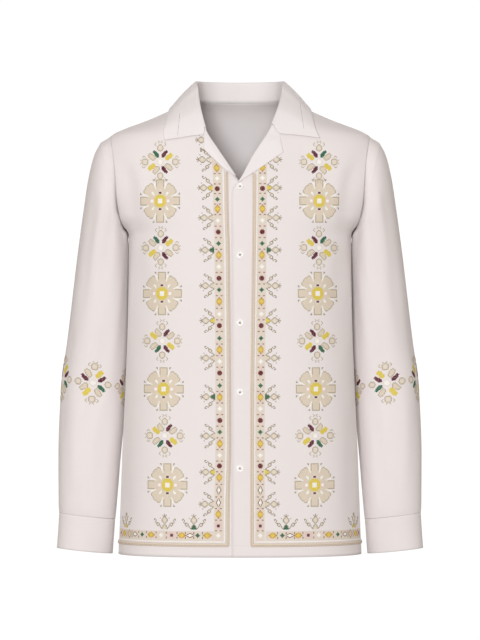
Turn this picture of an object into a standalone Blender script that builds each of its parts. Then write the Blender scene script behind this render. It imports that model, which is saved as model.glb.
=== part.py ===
# Embroidered shirt with an open camp collar and long sleeves, filled out as when it is worn.
# Metres, +Z up, the front faces -Y. The origin is at the base of the neck, where the shirt is held.
# "left" and "right" are the wearer's: the left front, at +X, lies on top.
# The tables are in millimetres and degrees; an angle is 0 at centre front, 90 at the side, 180 at the back.

import math

import bmesh
import bpy
from mathutils import Vector

MM = 0.001
COLLECTION_NAME = "embroidered_shirt"

CLOTH = 1.5 * MM
BAND_CLOTH = 1.6 * MM

# The torso: sections at heights, each a rounded rectangle that is deeper or flatter, from hem to neck.
BODY_COLUMNS = ("z", "half_width", "front_depth", "back_depth", "squareness")
BODY_ROWS = (
    (-725.0, 194.0, 137.0, 126.0, 2.35),
    (-560.0, 188.0, 135.8, 123.0, 2.35),
    (-370.0, 180.0, 134.0, 122.0, 2.35),
    (-290.0, 178.4, 132.2, 123.0, 2.33),
    (-217.0, 178.0, 128.8, 123.5, 2.25),
    (-185.0, 203.0, 125.6, 122.5, 2.08),
    (-130.0, 221.0, 118.0, 119.0, 2.00),
    (-95.0, 221.0, 106.0, 113.0, 2.00),
    (-72.0, 216.0, 98.0, 107.0, 2.00),
    (-58.5, 207.5, 92.0, 102.0, 2.00),
    (-30.0, 141.0, 79.0, 90.0, 2.00),
    (-16.5, 110.5, 71.0, 82.0, 2.00),
    (0.0, 70.0, 60.0, 68.0, 2.00),
)

HEM_Z = -725.0
UNDERARM_Z = -217.0
SHOULDER_TIP_Z = -58.5
NECK_Z = -1.0

# Armhole seam, from the underarm to the shoulder tip.
ARMHOLE_COLUMNS = ("z", "front_x", "back_x")
ARMHOLE_ROWS = (
    (-217.0, 178.0, 178.0),
    (-205.0, 186.0, 182.0),
    (-190.0, 191.5, 186.0),
    (-165.0, 196.5, 190.5),
    (-130.0, 199.0, 194.0),
    (-95.0, 201.5, 198.5),
    (-75.0, 204.5, 203.0),
    (-58.5, 207.5, 207.5),
)

# Front edges: straight from the hem, then the fold of the lapel up to the side of the neck.
# The distance is from the centre line to the front's own side, so the overlap is negative.
FRONT_EDGE_COLUMNS = ("z", "left_x", "right_x")
FRONT_EDGE_ROWS = (
    (-725.0, -13.3, -12.5),
    (-150.0, -13.3, -12.0),
    (-146.0, -13.0, -9.0),
    (-130.0, 0.0, 2.4),
    (-95.0, 18.4, 25.6),
    (-83.0, 25.9, 33.7),
    (-50.0, 46.8, 54.0),
    (-20.0, 60.0, 62.5),
    (-5.0, 65.5, 66.2),
    (-1.0, 67.3, 67.3),
)
FOLD_SETBACK = 2.1 * MM
UNDERLAP_DROP = 2.5 * MM
UNDERLAP_REACH = (-66.0 * MM, -36.0 * MM)

# Outer edge of each lapel, as height and distance from the centre line, from the gorge by the notch and
# the point down to the fold.
LAPEL_ROWS = {
    "left": (
        (-46.5, 52.0),
        (-53.0, 57.2),
        (-59.5, 61.7),
        (-73.5, 65.2),
        (-87.3, 68.4),
        (-99.0, 52.2),
        (-111.0, 34.8),
        (-121.6, 18.9),
        (-128.6, 8.4),
        (-133.0, 2.0),
    ),
    "right": (
        (-54.0, 56.2),
        (-57.5, 55.8),
        (-61.2, 55.4),
        (-72.0, 56.4),
        (-82.3, 57.4),
        (-95.0, 44.7),
        (-107.9, 31.7),
        (-116.5, 21.2),
        (-123.0, 11.5),
    ),
}
LAPEL_LIP = ((0.35, -1.05), (0.05, -0.35), (0.35, 0.55), (1.9, 1.15))
LAPEL_LIFT = 1.25 * MM
LAPEL_STEPS = 4

# Collar sections, from centre back to the front end: the seam's angle and height, the height and the
# forward lean of the stand, and the angle and height of the fall's edge on the shirt.
COLLAR_ROWS = (
    (180.0, 0.0, 30.5, 0.0, 180.0, -26.0),
    (150.0, 0.0, 30.5, 0.0, 150.0, -25.4),
    (120.0, 0.0, 30.3, 0.0, 122.0, -21.0),
    (90.0, 0.0, 29.0, 2.0, 90.0, -16.5),
    (68.4, -1.0, 21.5, 10.0, 59.0, -26.0),
    (53.0, -5.0, 12.5, 22.0, 44.0, -40.0),
)
COLLAR_LOW_Z = -20.0
COLLAR_LOW_STAND = (6.5, 30.0)
COLLAR_LOW_EDGE = (36.5, -55.0)
COLLAR_LOW_LIFT = 0.8 * MM
COLLAR_ENDS = {
    "left": {"end_z": -44.5, "notch": (61.6, -57.4), "tip": (126.0, -65.1)},
    "right": {"end_z": -50.0, "notch": (57.6, -59.0), "tip": (119.6, -68.7)},
}
COLLAR_END_STAND = (4.5, 50.0)
COLLAR_END_SHIFT = 0.4 * MM
COLLAR_END_LIFT = 1.2 * MM
COLLAR_STATIONS = 17
COLLAR_STATION_STEP = 0.05
COLLAR_FOOT = 1.5 * MM
COLLAR_FOLD = ((-1.3, 0.0), (0.0, 1.4), (-1.3, 2.8))
COLLAR_FOLD_DEPTH = 2.8 * MM
COLLAR_TALL_STAND = 8.0 * MM
COLLAR_FALL_STEPS = (0.18, 0.46, 0.73, 1.0)
COLLAR_LIFT = 2.6 * MM
COLLAR_FALL_SWELL = 1.6 * MM
COLLAR_SWELL_REACH = 1.1
COLLAR_SWELL_RISE = 20.0 * MM
NECK_CLEAR_Z = -3.0 * MM

# Sleeve rings, from just below the armhole to the cuff seam: the outermost and innermost points, half
# the depth, and the share of the armhole's own shape that the ring keeps.
SLEEVE_COLUMNS = (
    "outer_x",
    "outer_z",
    "outer_y",
    "inner_x",
    "inner_z",
    "inner_y",
    "half_depth",
    "armhole",
)
SLEEVE_ROWS = (
    (223.5, -68.5, 4.0, 179.2, -222.5, 12.0, 64.0, 0.8),
    (233.0, -87.0, 7.0, 178.3, -238.0, 22.0, 70.0, 0.5),
    (242.5, -123.0, 12.0, 178.2, -260.0, 30.0, 74.0, 0.25),
    (251.5, -180.0, 20.0, 177.9, -290.0, 36.0, 74.0, 0.08),
    (261.5, -252.0, 28.0, 177.9, -335.0, 42.0, 72.0, 0.0),
    (271.0, -330.0, 34.0, 178.8, -385.0, 45.0, 69.0, 0.0),
    (278.5, -390.0, 38.0, 180.2, -425.0, 46.0, 65.0, 0.0),
    (286.0, -440.0, 40.0, 182.8, -465.0, 45.0, 61.0, 0.0),
    (290.3, -505.0, 39.0, 187.0, -520.0, 42.0, 57.0, 0.0),
    (292.0, -562.0, 36.0, 191.8, -572.0, 38.0, 52.5, 0.0),
    (291.7, -615.0, 32.0, 195.8, -622.0, 34.0, 47.5, 0.0),
    (291.3, -650.0, 30.0, 199.0, -659.0, 31.0, 42.5, 0.0),
    (290.5, -660.5, 29.0, 200.3, -670.5, 30.0, 39.5, 0.0),
)
CUFF_ROWS = (
    (289.9, -661.4, 29.0, 201.0, -671.4, 30.0, 38.6, 0.0),
    (291.6, -690.0, 28.5, 203.0, -699.5, 29.5, 38.0, 0.0),
    (293.7, -717.5, 28.0, 205.0, -726.5, 29.0, 38.0, 0.0),
)
RING_POINTS = 24
ARMHOLE_GAP = 0.9 * MM
SLEEVE_CAP_ROW = 3
SLEEVE_ELBOW_ROW = 5
ARMHOLE_FLARE = 0.15

# Panel grids: rows from the hem to the underarm, along the armhole and along the shoulder, and columns.
ROWS_BELOW_UNDERARM = 9
ROW_CROWDING = 1.35
ROWS_ALONG_SHOULDER = 5
FRONT_COLUMNS = 10
BACK_COLUMNS = 16
SIDE_SEAM_SETBACK = 0.3 * MM
SHOULDER_SEAM_SETBACK = 0.55 * MM
SPLIT_SETBACK = 0.3 * MM
CAP_SETBACK = 0.7 * MM

# Raised cord sewn beside the front edge and, past a mitred corner, along the hem.
BRAID_X = {"left": 20.9 * MM, "right": 18.0 * MM}
BRAID_TOP_Z = {"left": -127.0 * MM, "right": -124.0 * MM}
BRAID_HEM_Z = -708.0 * MM
BRAID_END_ANGLE = 86.0
BRAID_HALF_WIDTH = 2.2 * MM
BRAID_WALL = 1.2 * MM
BRAID_CREST = ((-1.0, 1.7), (0.0, 2.1), (1.0, 1.7))
BRAID_UPRIGHT_STEPS = 20
BRAID_HEM_STEPS = 26

BUTTON_HEIGHTS = (-141.5, -249.5, -356.5, -465.5, -585.0)
BUTTON_RADIUS = 5.2 * MM
BUTTON_THICKNESS = 2.0 * MM
BUTTON_SIDES = 20
BUTTON_BEVEL = 0.5 * MM
BUTTON_GAP = 0.5 * MM

NORMAL_STEP_ANGLE = 0.4
NORMAL_STEP_Z = 0.4 * MM

MERGE_DISTANCE = 0.01 * MM

CLOTH_ROUGHNESS = 0.85
BUTTON_ROUGHNESS = 0.25
CLOTH_COLOUR = (0.83, 0.77, 0.74)
COLLAR_COLOUR = (0.86, 0.81, 0.78)
BRAID_COLOUR = (0.72, 0.62, 0.48)
BUTTON_COLOUR = (0.86, 0.84, 0.80)


def smooth_value(keys, values, key):
    # A value on a smooth curve through rising keys that never swings past its points.
    if key <= keys[0]:
        return values[0]
    if key >= keys[-1]:
        return values[-1]
    widths = [b - a for a, b in zip(keys, keys[1:])]
    slopes = [(b - a) / w for a, b, w in zip(values, values[1:], widths)]
    tangents = [slopes[0]]
    for before, after in zip(slopes, slopes[1:]):
        tangents.append(0.0 if before * after <= 0.0 else 2.0 * before * after / (before + after))
    tangents.append(slopes[-1])
    place = max(index for index, start in enumerate(keys[:-1]) if start <= key)
    width = widths[place]
    t = (key - keys[place]) / width
    return (
        (2 * t ** 3 - 3 * t ** 2 + 1) * values[place]
        + (t ** 3 - 2 * t ** 2 + t) * width * tangents[place]
        + (3 * t ** 2 - 2 * t ** 3) * values[place + 1]
        + (t ** 3 - t ** 2) * width * tangents[place + 1]
    )


def table_value(columns, rows, name, key):
    # One column of a table whose first column, in millimetres, rises; the result is in the table's unit.
    column = columns.index(name)
    ordered = sorted(rows)
    return smooth_value([row[0] for row in ordered], [row[column] for row in ordered], key / MM)


def body_value(name, z):
    return table_value(BODY_COLUMNS, BODY_ROWS, name, z)


def signed_power(value, power):
    return math.copysign(abs(value) ** power, value)


def body_place(angle, z):
    # A point of the torso's outer face; the angle runs from -180 to 180, positive to the wearer's left.
    power = 2.0 / body_value("squareness", z)
    sine = math.sin(math.radians(angle))
    cosine = math.cos(math.radians(angle))
    depth = body_value("front_depth" if cosine > 0 else "back_depth", z) * MM
    return Vector((
        body_value("half_width", z) * MM * signed_power(sine, power),
        -depth * signed_power(cosine, power),
        z,
    ))


def body_normal(angle, z):
    around = body_place(angle + NORMAL_STEP_ANGLE, z) - body_place(angle - NORMAL_STEP_ANGLE, z)
    top = min(z + NORMAL_STEP_Z, 0.0)
    upward = body_place(angle, top) - body_place(angle, top - 2 * NORMAL_STEP_Z)
    return around.cross(upward).normalized()


def body_point(angle, z, lift=0.0):
    return body_place(angle, z) + body_normal(angle, z) * lift


def front_angle(x, z):
    # The angle at which the front of the torso has this x.
    share = x / (body_value("half_width", z) * MM)
    share = max(-1.0, min(1.0, share))
    power = body_value("squareness", z) / 2.0
    return math.degrees(math.asin(signed_power(share, power)))


def front_point(x, z, lift=0.0):
    return body_point(front_angle(x, z), z, lift)


def spread(start, end, count):
    return [start + (end - start) * step / count for step in range(count + 1)]


def ring_share(step, count):
    # Even steps round half a ring, as a share of its height from the top down.
    return 0.5 - 0.5 * math.cos(math.pi * step / count)


def armhole_heights():
    half = RING_POINTS // 2
    height = SHOULDER_TIP_Z - UNDERARM_Z
    return [(SHOULDER_TIP_Z - height * ring_share(step, half)) * MM for step in range(half + 1)]


def panel_heights():
    # The rows lie closer together towards the underarm.
    shares = [1.0 - (1.0 - share) ** ROW_CROWDING for share in spread(0.0, 1.0, ROWS_BELOW_UNDERARM)]
    lower = [(HEM_Z + (UNDERARM_Z - HEM_Z) * share) * MM for share in shares]
    armhole = list(reversed(armhole_heights()))
    shoulder = [z * MM for z in spread(SHOULDER_TIP_Z, NECK_Z, ROWS_ALONG_SHOULDER)]
    return lower[:-1] + armhole[:-1] + shoulder


def armhole_x(which, z):
    return table_value(ARMHOLE_COLUMNS, ARMHOLE_ROWS, which, z) * MM


def in_armhole(z):
    return UNDERARM_Z * MM < z < SHOULDER_TIP_Z * MM


def front_edge_x(side, z):
    return table_value(FRONT_EDGE_COLUMNS, FRONT_EDGE_ROWS, side + "_x", z) * MM


def smooth_step(value, start, end):
    t = max(0.0, min(1.0, (value - start) / (end - start)))
    return t * t * (3.0 - 2.0 * t)


def underlap_lift(side, x):
    # The right front drops behind the left one where they overlap; x is in the world.
    if side == "left":
        return 0.0
    return -UNDERLAP_DROP * smooth_step(x, *UNDERLAP_REACH)


def seam_setback(z):
    return SHOULDER_SEAM_SETBACK if z >= SHOULDER_TIP_Z * MM else SIDE_SEAM_SETBACK


def front_heights():
    # The panel's rows, with one more at each bend of the front edge.
    bends = [row[0] * MM for row in FRONT_EDGE_ROWS[1:4]]
    return sorted(panel_heights() + bends)


def front_grid(side):
    # Rows from hem to neck, columns from the front edge to the side seam, armhole or shoulder.
    sign = 1 if side == "left" else -1
    grid = []
    for z in front_heights():
        edge_x = front_edge_x(side, z)
        if z > FRONT_EDGE_ROWS[1][0] * MM:
            edge_x += FOLD_SETBACK
        start = front_angle(edge_x, z)
        end = front_angle(armhole_x("front_x", z), z) if in_armhole(z) else 90.0
        row = []
        for angle in spread(start, end, FRONT_COLUMNS):
            x = body_place(angle, z).x * sign
            point = body_point(angle * sign, z, underlap_lift(side, x))
            row.append(point)
        row[-1] = row[-1] + Vector((0.0, -seam_setback(z), 0.0))
        grid.append(row if sign > 0 else list(reversed(row)))
    return grid


def back_angle(x, z):
    return 180.0 - front_angle(x, z)


def drawn_back(line, neighbour, distance):
    return [point + (other - point).normalized() * distance for point, other in zip(line, neighbour)]


def strip(grid, start, end, start_setback, end_setback):
    # Rows of a grid, from start to end, each end drawn back to leave a seam's width open.
    rows = grid[start:end + 1]
    first = drawn_back(rows[0], rows[1], start_setback)
    last = drawn_back(rows[-1], rows[-2], end_setback)
    return [first] + rows[1:-1] + [last]


def turned(grid):
    return [list(line) for line in zip(*grid)]


def back_grid():
    grid = []
    for z in panel_heights():
        side = back_angle(armhole_x("back_x", z), z) if in_armhole(z) else 90.0
        row = [body_point(angle, z) for angle in spread(side, 360.0 - side, BACK_COLUMNS)]
        row[0] = row[0] + Vector((0.0, seam_setback(z), 0.0))
        row[-1] = row[-1] + Vector((0.0, seam_setback(z), 0.0))
        grid.append(row)
    return grid


def back_half_grid(side):
    # The back is one piece of cloth; its solid is split at the centre, so that collision can follow it.
    columns = turned(back_grid())
    middle = BACK_COLUMNS // 2
    if side == "left":
        return turned(strip(columns, 0, middle, 0.0, SPLIT_SETBACK))
    return turned(strip(columns, middle, BACK_COLUMNS, SPLIT_SETBACK, 0.0))


def lapel_grid(side):
    sign = 1 if side == "left" else -1
    grid = []
    for row_z, row_edge in reversed(LAPEL_ROWS[side]):
        z = row_z * MM
        fold_x = front_edge_x(side, z)
        lip_x = fold_x + LAPEL_LIP[-1][0] * MM
        places = [(fold_x + x * MM, lift * MM) for x, lift in LAPEL_LIP]
        places += [(x, LAPEL_LIFT) for x in spread(lip_x, row_edge * MM, LAPEL_STEPS)[1:]]
        row = [front_point(x * sign, z, lift) for x, lift in places]
        grid.append(row if sign > 0 else list(reversed(row)))
    return grid


def collar_sections(side):
    # For each table row: seam point, stand direction and height, and the edge of the fall.
    ends = COLLAR_ENDS[side]
    sections = []
    for seam_angle, seam_z, stand, lean, edge_angle, edge_z in COLLAR_ROWS:
        seam = body_place(seam_angle, seam_z * MM)
        edge = body_point(edge_angle, edge_z * MM, COLLAR_LIFT)
        sections.append((seam, stand, lean, edge))
    low_z = COLLAR_LOW_Z * MM
    low_seam = front_point(front_edge_x(side, low_z), low_z, COLLAR_LOW_LIFT)
    low_edge = body_point(COLLAR_LOW_EDGE[0], COLLAR_LOW_EDGE[1] * MM, COLLAR_LIFT)
    sections.append((low_seam, *COLLAR_LOW_STAND, low_edge))
    end_z = ends["end_z"] * MM
    end_seam = front_point(front_edge_x(side, end_z) + COLLAR_END_SHIFT, end_z, COLLAR_END_LIFT)
    tip_x, tip_z = (value * MM for value in ends["tip"])
    tip = front_point(tip_x, tip_z, COLLAR_LIFT)
    sections.append((end_seam, *COLLAR_END_STAND, tip))
    return sections


def smooth_vector(keys, vectors, key):
    return Vector([smooth_value(keys, [vector[axis] for vector in vectors], key) for axis in range(3)])


def clear_of_body(point, lift):
    # Moves a point of the fall outward, along Y, to stay clear of the shirt under it.
    if point.z > NECK_CLEAR_Z:
        return point
    half_width = body_value("half_width", point.z) * MM
    if abs(point.x) >= half_width:
        return point
    angle = front_angle(point.x, point.z)
    if point.y < 0.0:
        limit = body_point(angle, point.z, lift).y
        return Vector((point.x, min(point.y, limit), point.z))
    limit = body_point(180.0 - angle, point.z, lift).y
    return Vector((point.x, max(point.y, limit), point.z))


def collar_station(side, place, sections):
    # One cross section of the collar on the wearer's left; place counts along the table's rows.
    keys = list(range(len(sections)))
    seams = [section[0] for section in sections]
    seam = smooth_vector(keys, seams, place)
    ahead = smooth_vector(keys, seams, min(place + COLLAR_STATION_STEP, keys[-1]))
    behind = smooth_vector(keys, seams, max(place - COLLAR_STATION_STEP, 0.0))
    stand = smooth_value(keys, [section[1] for section in sections], place) * MM
    lean = math.radians(smooth_value(keys, [section[2] for section in sections], place))
    edge = smooth_vector(keys, [section[3] for section in sections], place)
    rise = Vector((0.0, -math.sin(lean), math.cos(lean)))
    outward = rise.cross(ahead - behind).normalized()
    line = [seam + rise * COLLAR_FOOT]
    if stand > COLLAR_TALL_STAND:
        middle = stand / 2.0
    else:
        middle = COLLAR_FOOT + (stand - COLLAR_FOLD_DEPTH) / 2.0
    line.append(seam + rise * middle)
    line += [seam + rise * (stand + up * MM) + outward * (out * MM) for up, out in COLLAR_FOLD]
    start = line[-1]
    notch_share = COLLAR_FALL_STEPS[0]
    notch_x, notch_z = (value * MM for value in COLLAR_ENDS[side]["notch"])
    notch = front_point(notch_x, notch_z, COLLAR_LIFT)
    pull = smooth_step(place, keys[-1] - 1.0, keys[-1])
    for share in COLLAR_FALL_STEPS:
        point = start.lerp(edge, share)
        swell = math.sin(math.pi * min(share * COLLAR_SWELL_REACH, 1.0)) * COLLAR_FALL_SWELL
        point += Vector((point.x, point.y, COLLAR_SWELL_RISE)).normalized() * swell
        if share == notch_share:
            bend = notch
        else:
            bend = notch.lerp(edge, (share - notch_share) / (1.0 - notch_share))
        point = point.lerp(bend, pull)
        line.append(clear_of_body(point, COLLAR_LIFT))
    return line


def mirrored(point):
    return Vector((-point.x, point.y, point.z))


def collar_grid():
    halves = {}
    for side in ("left", "right"):
        sections = collar_sections(side)
        places = spread(0.0, len(sections) - 1.0, COLLAR_STATIONS)
        halves[side] = [collar_station(side, place, sections) for place in places]
    right = [[mirrored(point) for point in line] for line in halves["right"]]
    lines = list(reversed(right))[:-1] + halves["left"]
    return [list(row) for row in zip(*lines)]


def armhole_loop():
    # The seam line, from the shoulder tip down the front to the underarm and up the back.
    heights = armhole_heights()
    front = []
    back = []
    for z in heights:
        front.append(body_point(front_angle(armhole_x("front_x", z), z), z))
        back.append(body_point(back_angle(armhole_x("back_x", z), z), z))
    return front + list(reversed(back))[1:-1]


def armhole_ring():
    # The sleeve's first ring, a seam's width off the armhole.
    loop = armhole_loop()
    middle = sum(loop, Vector()) / len(loop)
    ring = []
    for point in loop:
        outward = Vector((1.0, 0.0, 0.0)) + (point - middle).normalized() * ARMHOLE_FLARE
        ring.append(point + outward.normalized() * ARMHOLE_GAP)
    return ring


def armhole_departures():
    # How far the armhole lies from an even oval with the same top and bottom.
    loop = armhole_loop()
    top = loop[0]
    bottom = loop[RING_POINTS // 2]
    departures = []
    for step, point in enumerate(loop):
        turn = 2.0 * math.pi * step / RING_POINTS
        oval = bottom.lerp(top, 0.5 + 0.5 * math.cos(turn))
        departures.append(Vector((point.x - oval.x, 0.0, 0.0)))
    return departures


def oval_ring(row):
    values = dict(zip(SLEEVE_COLUMNS, row))
    outer = Vector((values["outer_x"], values["outer_y"], values["outer_z"])) * MM
    inner = Vector((values["inner_x"], values["inner_y"], values["inner_z"])) * MM
    departures = armhole_departures()
    ring = []
    for step in range(RING_POINTS):
        turn = 2.0 * math.pi * step / RING_POINTS
        point = inner.lerp(outer, 0.5 + 0.5 * math.cos(turn))
        point.y -= values["half_depth"] * MM * math.sin(turn)
        ring.append(point + departures[step] * values["armhole"])
    return ring


def closed_rows(rings):
    return [ring + [ring[0].copy()] for ring in rings]


def tube_grid(rings, side):
    rows = closed_rows(rings)
    if side == "left":
        return rows
    return [[mirrored(point) for point in reversed(row)] for row in rows]


def sleeve_grid(side):
    rings = [armhole_ring()] + [oval_ring(row) for row in SLEEVE_ROWS]
    return tube_grid(rings, side)


def sleeve_cap_grid(side):
    # The sleeve is one piece of cloth; its solid is split into two rings above the elbow, and into
    # halves below it.
    return strip(sleeve_grid(side), 0, SLEEVE_CAP_ROW, 0.0, CAP_SETBACK)


def sleeve_top_grid(side):
    return strip(sleeve_grid(side), SLEEVE_CAP_ROW, SLEEVE_ELBOW_ROW, CAP_SETBACK, SPLIT_SETBACK)


def sleeve_half_grid(side, face):
    rows = sleeve_grid(side)
    columns = turned(strip(rows, SLEEVE_ELBOW_ROW, len(rows) - 1, SPLIT_SETBACK, 0.0))
    half = RING_POINTS // 2
    start = 0 if (side == "left") == (face == "front") else half
    return turned(strip(columns, start, start + half, SPLIT_SETBACK, SPLIT_SETBACK))


def cuff_grid(side):
    return tube_grid([oval_ring(row) for row in CUFF_ROWS], side)


def braid_grid(side):
    sign = 1 if side == "left" else -1
    line_x = BRAID_X[side]
    heights = spread(BRAID_TOP_Z[side], BRAID_HEM_Z, BRAID_UPRIGHT_STEPS)[:-1]
    corner = front_angle(line_x, BRAID_HEM_Z)
    angles = spread(corner, BRAID_END_ANGLE, BRAID_HEM_STEPS)[1:]
    rows = []
    for share, lift in BRAID_CREST:
        shift = share * BRAID_HALF_WIDTH
        row = [(front_angle(line_x + shift, z), z) for z in heights]
        hem_z = BRAID_HEM_Z + shift
        row.append((front_angle(line_x + shift, hem_z), hem_z))
        row += [(angle, hem_z) for angle in angles]
        places = []
        for angle, z in row:
            x = body_place(angle, z).x * sign
            places.append(body_point(angle * sign, z, lift * MM + underlap_lift(side, x)))
        rows.append(places if sign > 0 else list(reversed(places)))
    return rows


def make_material(name, colour, roughness):
    material = bpy.data.materials.new(name)
    material.use_nodes = True
    shader = material.node_tree.nodes["Principled BSDF"]
    shader.inputs["Base Color"].default_value = (*colour, 1.0)
    shader.inputs["Roughness"].default_value = roughness
    shader.inputs["Metallic"].default_value = 0.0
    material.diffuse_color = (*colour, 1.0)
    return material


def add_object(name, mesh, collection, colour, roughness):
    mesh.materials.append(make_material(name + "_finish", colour, roughness))
    thing = bpy.data.objects.new(name, mesh)
    collection.objects.link(thing)
    return thing


def wall(name, grid, collection, colour, thickness, offset, closed=False):
    # A grid of faces laid on the points, given the cloth's thickness.
    rows = len(grid)
    columns = len(grid[0])
    shape = bmesh.new()
    bmesh.ops.create_grid(shape, x_segments=columns - 1, y_segments=rows - 1, size=1.0)
    shape.verts.ensure_lookup_table()
    for index, vertex in enumerate(shape.verts):
        vertex.co = grid[index // columns][index % columns]
    if closed:
        bmesh.ops.remove_doubles(shape, verts=shape.verts, dist=MERGE_DISTANCE)
    mesh = bpy.data.meshes.new(name)
    shape.to_mesh(mesh)
    shape.free()
    mesh.shade_smooth()
    thing = add_object(name, mesh, collection, colour, CLOTH_ROUGHNESS)
    thickness_modifier = thing.modifiers.new("cloth", "SOLIDIFY")
    thickness_modifier.thickness = thickness
    thickness_modifier.offset = offset
    thickness_modifier.use_even_offset = False
    thickness_modifier.use_quality_normals = True
    return thing


def button(name, height, collection):
    centre = front_point(0.0, height * MM, BUTTON_GAP + BUTTON_THICKNESS / 2.0)
    normal = body_normal(0.0, height * MM)
    shape = bmesh.new()
    bmesh.ops.create_cone(
        shape,
        cap_ends=True,
        segments=BUTTON_SIDES,
        radius1=BUTTON_RADIUS,
        radius2=BUTTON_RADIUS,
        depth=BUTTON_THICKNESS,
    )
    mesh = bpy.data.meshes.new(name)
    shape.to_mesh(mesh)
    shape.free()
    thing = add_object(name, mesh, collection, BUTTON_COLOUR, BUTTON_ROUGHNESS)
    thing.location = centre
    thing.rotation_euler = normal.to_track_quat("Z", "Y").to_euler()
    edge = thing.modifiers.new("edge", "BEVEL")
    edge.width = BUTTON_BEVEL
    edge.segments = 1
    edge.limit_method = "ANGLE"
    return thing


def build_shirt():
    for thing in list(bpy.data.objects):
        bpy.data.objects.remove(thing)
    collection = bpy.data.collections.new(COLLECTION_NAME)
    bpy.context.scene.collection.children.link(collection)
    wall("collar", collar_grid(), collection, COLLAR_COLOUR, BAND_CLOTH, 0.0)
    for side in ("left", "right"):
        wall("front_" + side, front_grid(side), collection, CLOTH_COLOUR, CLOTH, -1.0)
        wall("back_" + side, back_half_grid(side), collection, CLOTH_COLOUR, CLOTH, -1.0)
        wall("lapel_" + side, lapel_grid(side), collection, COLLAR_COLOUR, CLOTH, 0.0)
        name = "sleeve_" + side + "_cap"
        wall(name, sleeve_cap_grid(side), collection, CLOTH_COLOUR, CLOTH, -1.0, closed=True)
        name = "sleeve_" + side + "_top"
        wall(name, sleeve_top_grid(side), collection, CLOTH_COLOUR, CLOTH, -1.0, closed=True)
        for face in ("front", "back"):
            name = "sleeve_" + side + "_" + face
            wall(name, sleeve_half_grid(side, face), collection, CLOTH_COLOUR, CLOTH, -1.0)
        wall("cuff_" + side, cuff_grid(side), collection, CLOTH_COLOUR, BAND_CLOTH, -1.0, closed=True)
        wall("braid_" + side, braid_grid(side), collection, BRAID_COLOUR, BRAID_WALL, -1.0)
    for number, height in enumerate(BUTTON_HEIGHTS, start=1):
        button("button_" + str(number), height, collection)


build_shirt()
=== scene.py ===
import math

import bpy
import numpy as np
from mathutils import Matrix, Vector
from mathutils.bvhtree import BVHTree


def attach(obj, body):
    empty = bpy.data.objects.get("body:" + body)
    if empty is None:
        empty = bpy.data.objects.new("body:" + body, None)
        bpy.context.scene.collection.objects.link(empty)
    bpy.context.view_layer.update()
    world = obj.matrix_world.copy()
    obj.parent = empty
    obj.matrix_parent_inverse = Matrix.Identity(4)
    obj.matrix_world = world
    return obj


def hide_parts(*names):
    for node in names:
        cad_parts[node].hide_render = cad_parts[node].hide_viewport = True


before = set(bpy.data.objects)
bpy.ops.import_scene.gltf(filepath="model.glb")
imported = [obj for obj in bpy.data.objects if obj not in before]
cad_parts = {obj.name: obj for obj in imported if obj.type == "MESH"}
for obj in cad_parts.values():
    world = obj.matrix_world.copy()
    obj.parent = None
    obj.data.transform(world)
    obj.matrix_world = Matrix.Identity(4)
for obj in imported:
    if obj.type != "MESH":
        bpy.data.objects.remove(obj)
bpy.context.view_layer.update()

# The script works in millimetres and turns them into metres when a mesh is made.
# "left" is the wearer's left, at +X. An angle is 0 at centre front, 90 at the side, 180 at the back.
toMetres = 0.001
random = np.random.default_rng(7)
signs = {"left": 1.0, "right": -1.0}
mirrorX = np.array((-1.0, 1.0, 1.0))


class Wire:
    def __init__(self, tree, socket):
        self.tree = tree
        self.socket = socket

    def math(self, operation, other=None, swap=False):
        node = self.tree.nodes.new("ShaderNodeMath")
        node.operation = operation
        for slot, value in zip(node.inputs, (other, self) if swap else (self, other)):
            if isinstance(value, Wire):
                self.tree.links.new(value.socket, slot)
            elif value is not None:
                slot.default_value = value
        return Wire(self.tree, node.outputs[0])

    def __add__(self, other):
        return self.math("ADD", other)

    def __sub__(self, other):
        return self.math("SUBTRACT", other)

    def __rsub__(self, other):
        return self.math("SUBTRACT", other, swap=True)

    def __mul__(self, other):
        return self.math("MULTIPLY", other)

    __radd__ = __add__
    __rmul__ = __mul__


class NodeTree:
    def __init__(self, tree):
        self.tree = tree

    def node(self, kind, settings=None, sockets=None, out=0):
        made = self.tree.nodes.new(kind)
        for setting, value in (settings or {}).items():
            setattr(made, setting, value)
        for socket, value in (sockets or {}).items():
            if isinstance(value, Wire):
                self.tree.links.new(value.socket, made.inputs[socket])
            else:
                made.inputs[socket].default_value = value
        return Wire(self.tree, made.outputs[out])


class Finish(NodeTree):
    def __init__(self, name, roughness, **constants):
        self.material = bpy.data.materials.new(name)
        self.material.use_nodes = True
        super().__init__(self.material.node_tree)
        self.shader = self.tree.nodes["Principled BSDF"]
        self.shader.inputs["Roughness"].default_value = roughness
        for socket, value in constants.items():
            self.shader.inputs[socket.replace("_", " ")].default_value = value

    def blendColours(self, factor, first, second):
        first, second = [(*c, 1.0) if isinstance(c, tuple) else c for c in (first, second)]
        settings = {"data_type": "RGBA", "clamp_factor": True}
        return self.node("ShaderNodeMix", settings, {0: factor, 6: first, 7: second}, out=2)

    def noise(self, scale, detail=2.0, roughness=0.5, where=None):
        sockets = {"Scale": scale, "Detail": detail, "Roughness": roughness}
        sockets["Vector"] = where or self.place()
        return self.node("ShaderNodeTexNoise", {}, sockets)

    def place(self):
        return self.node("ShaderNodeTexCoord", {}, {}, out=3)

    def feed(self, socket, wire):
        self.tree.links.new(wire.socket, self.shader.inputs[socket])

    def bump(self, height, strength, distance):
        self.feed("Normal", self.node(
            "ShaderNodeBump", {}, {"Height": height, "Strength": strength, "Distance": distance}))


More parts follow.
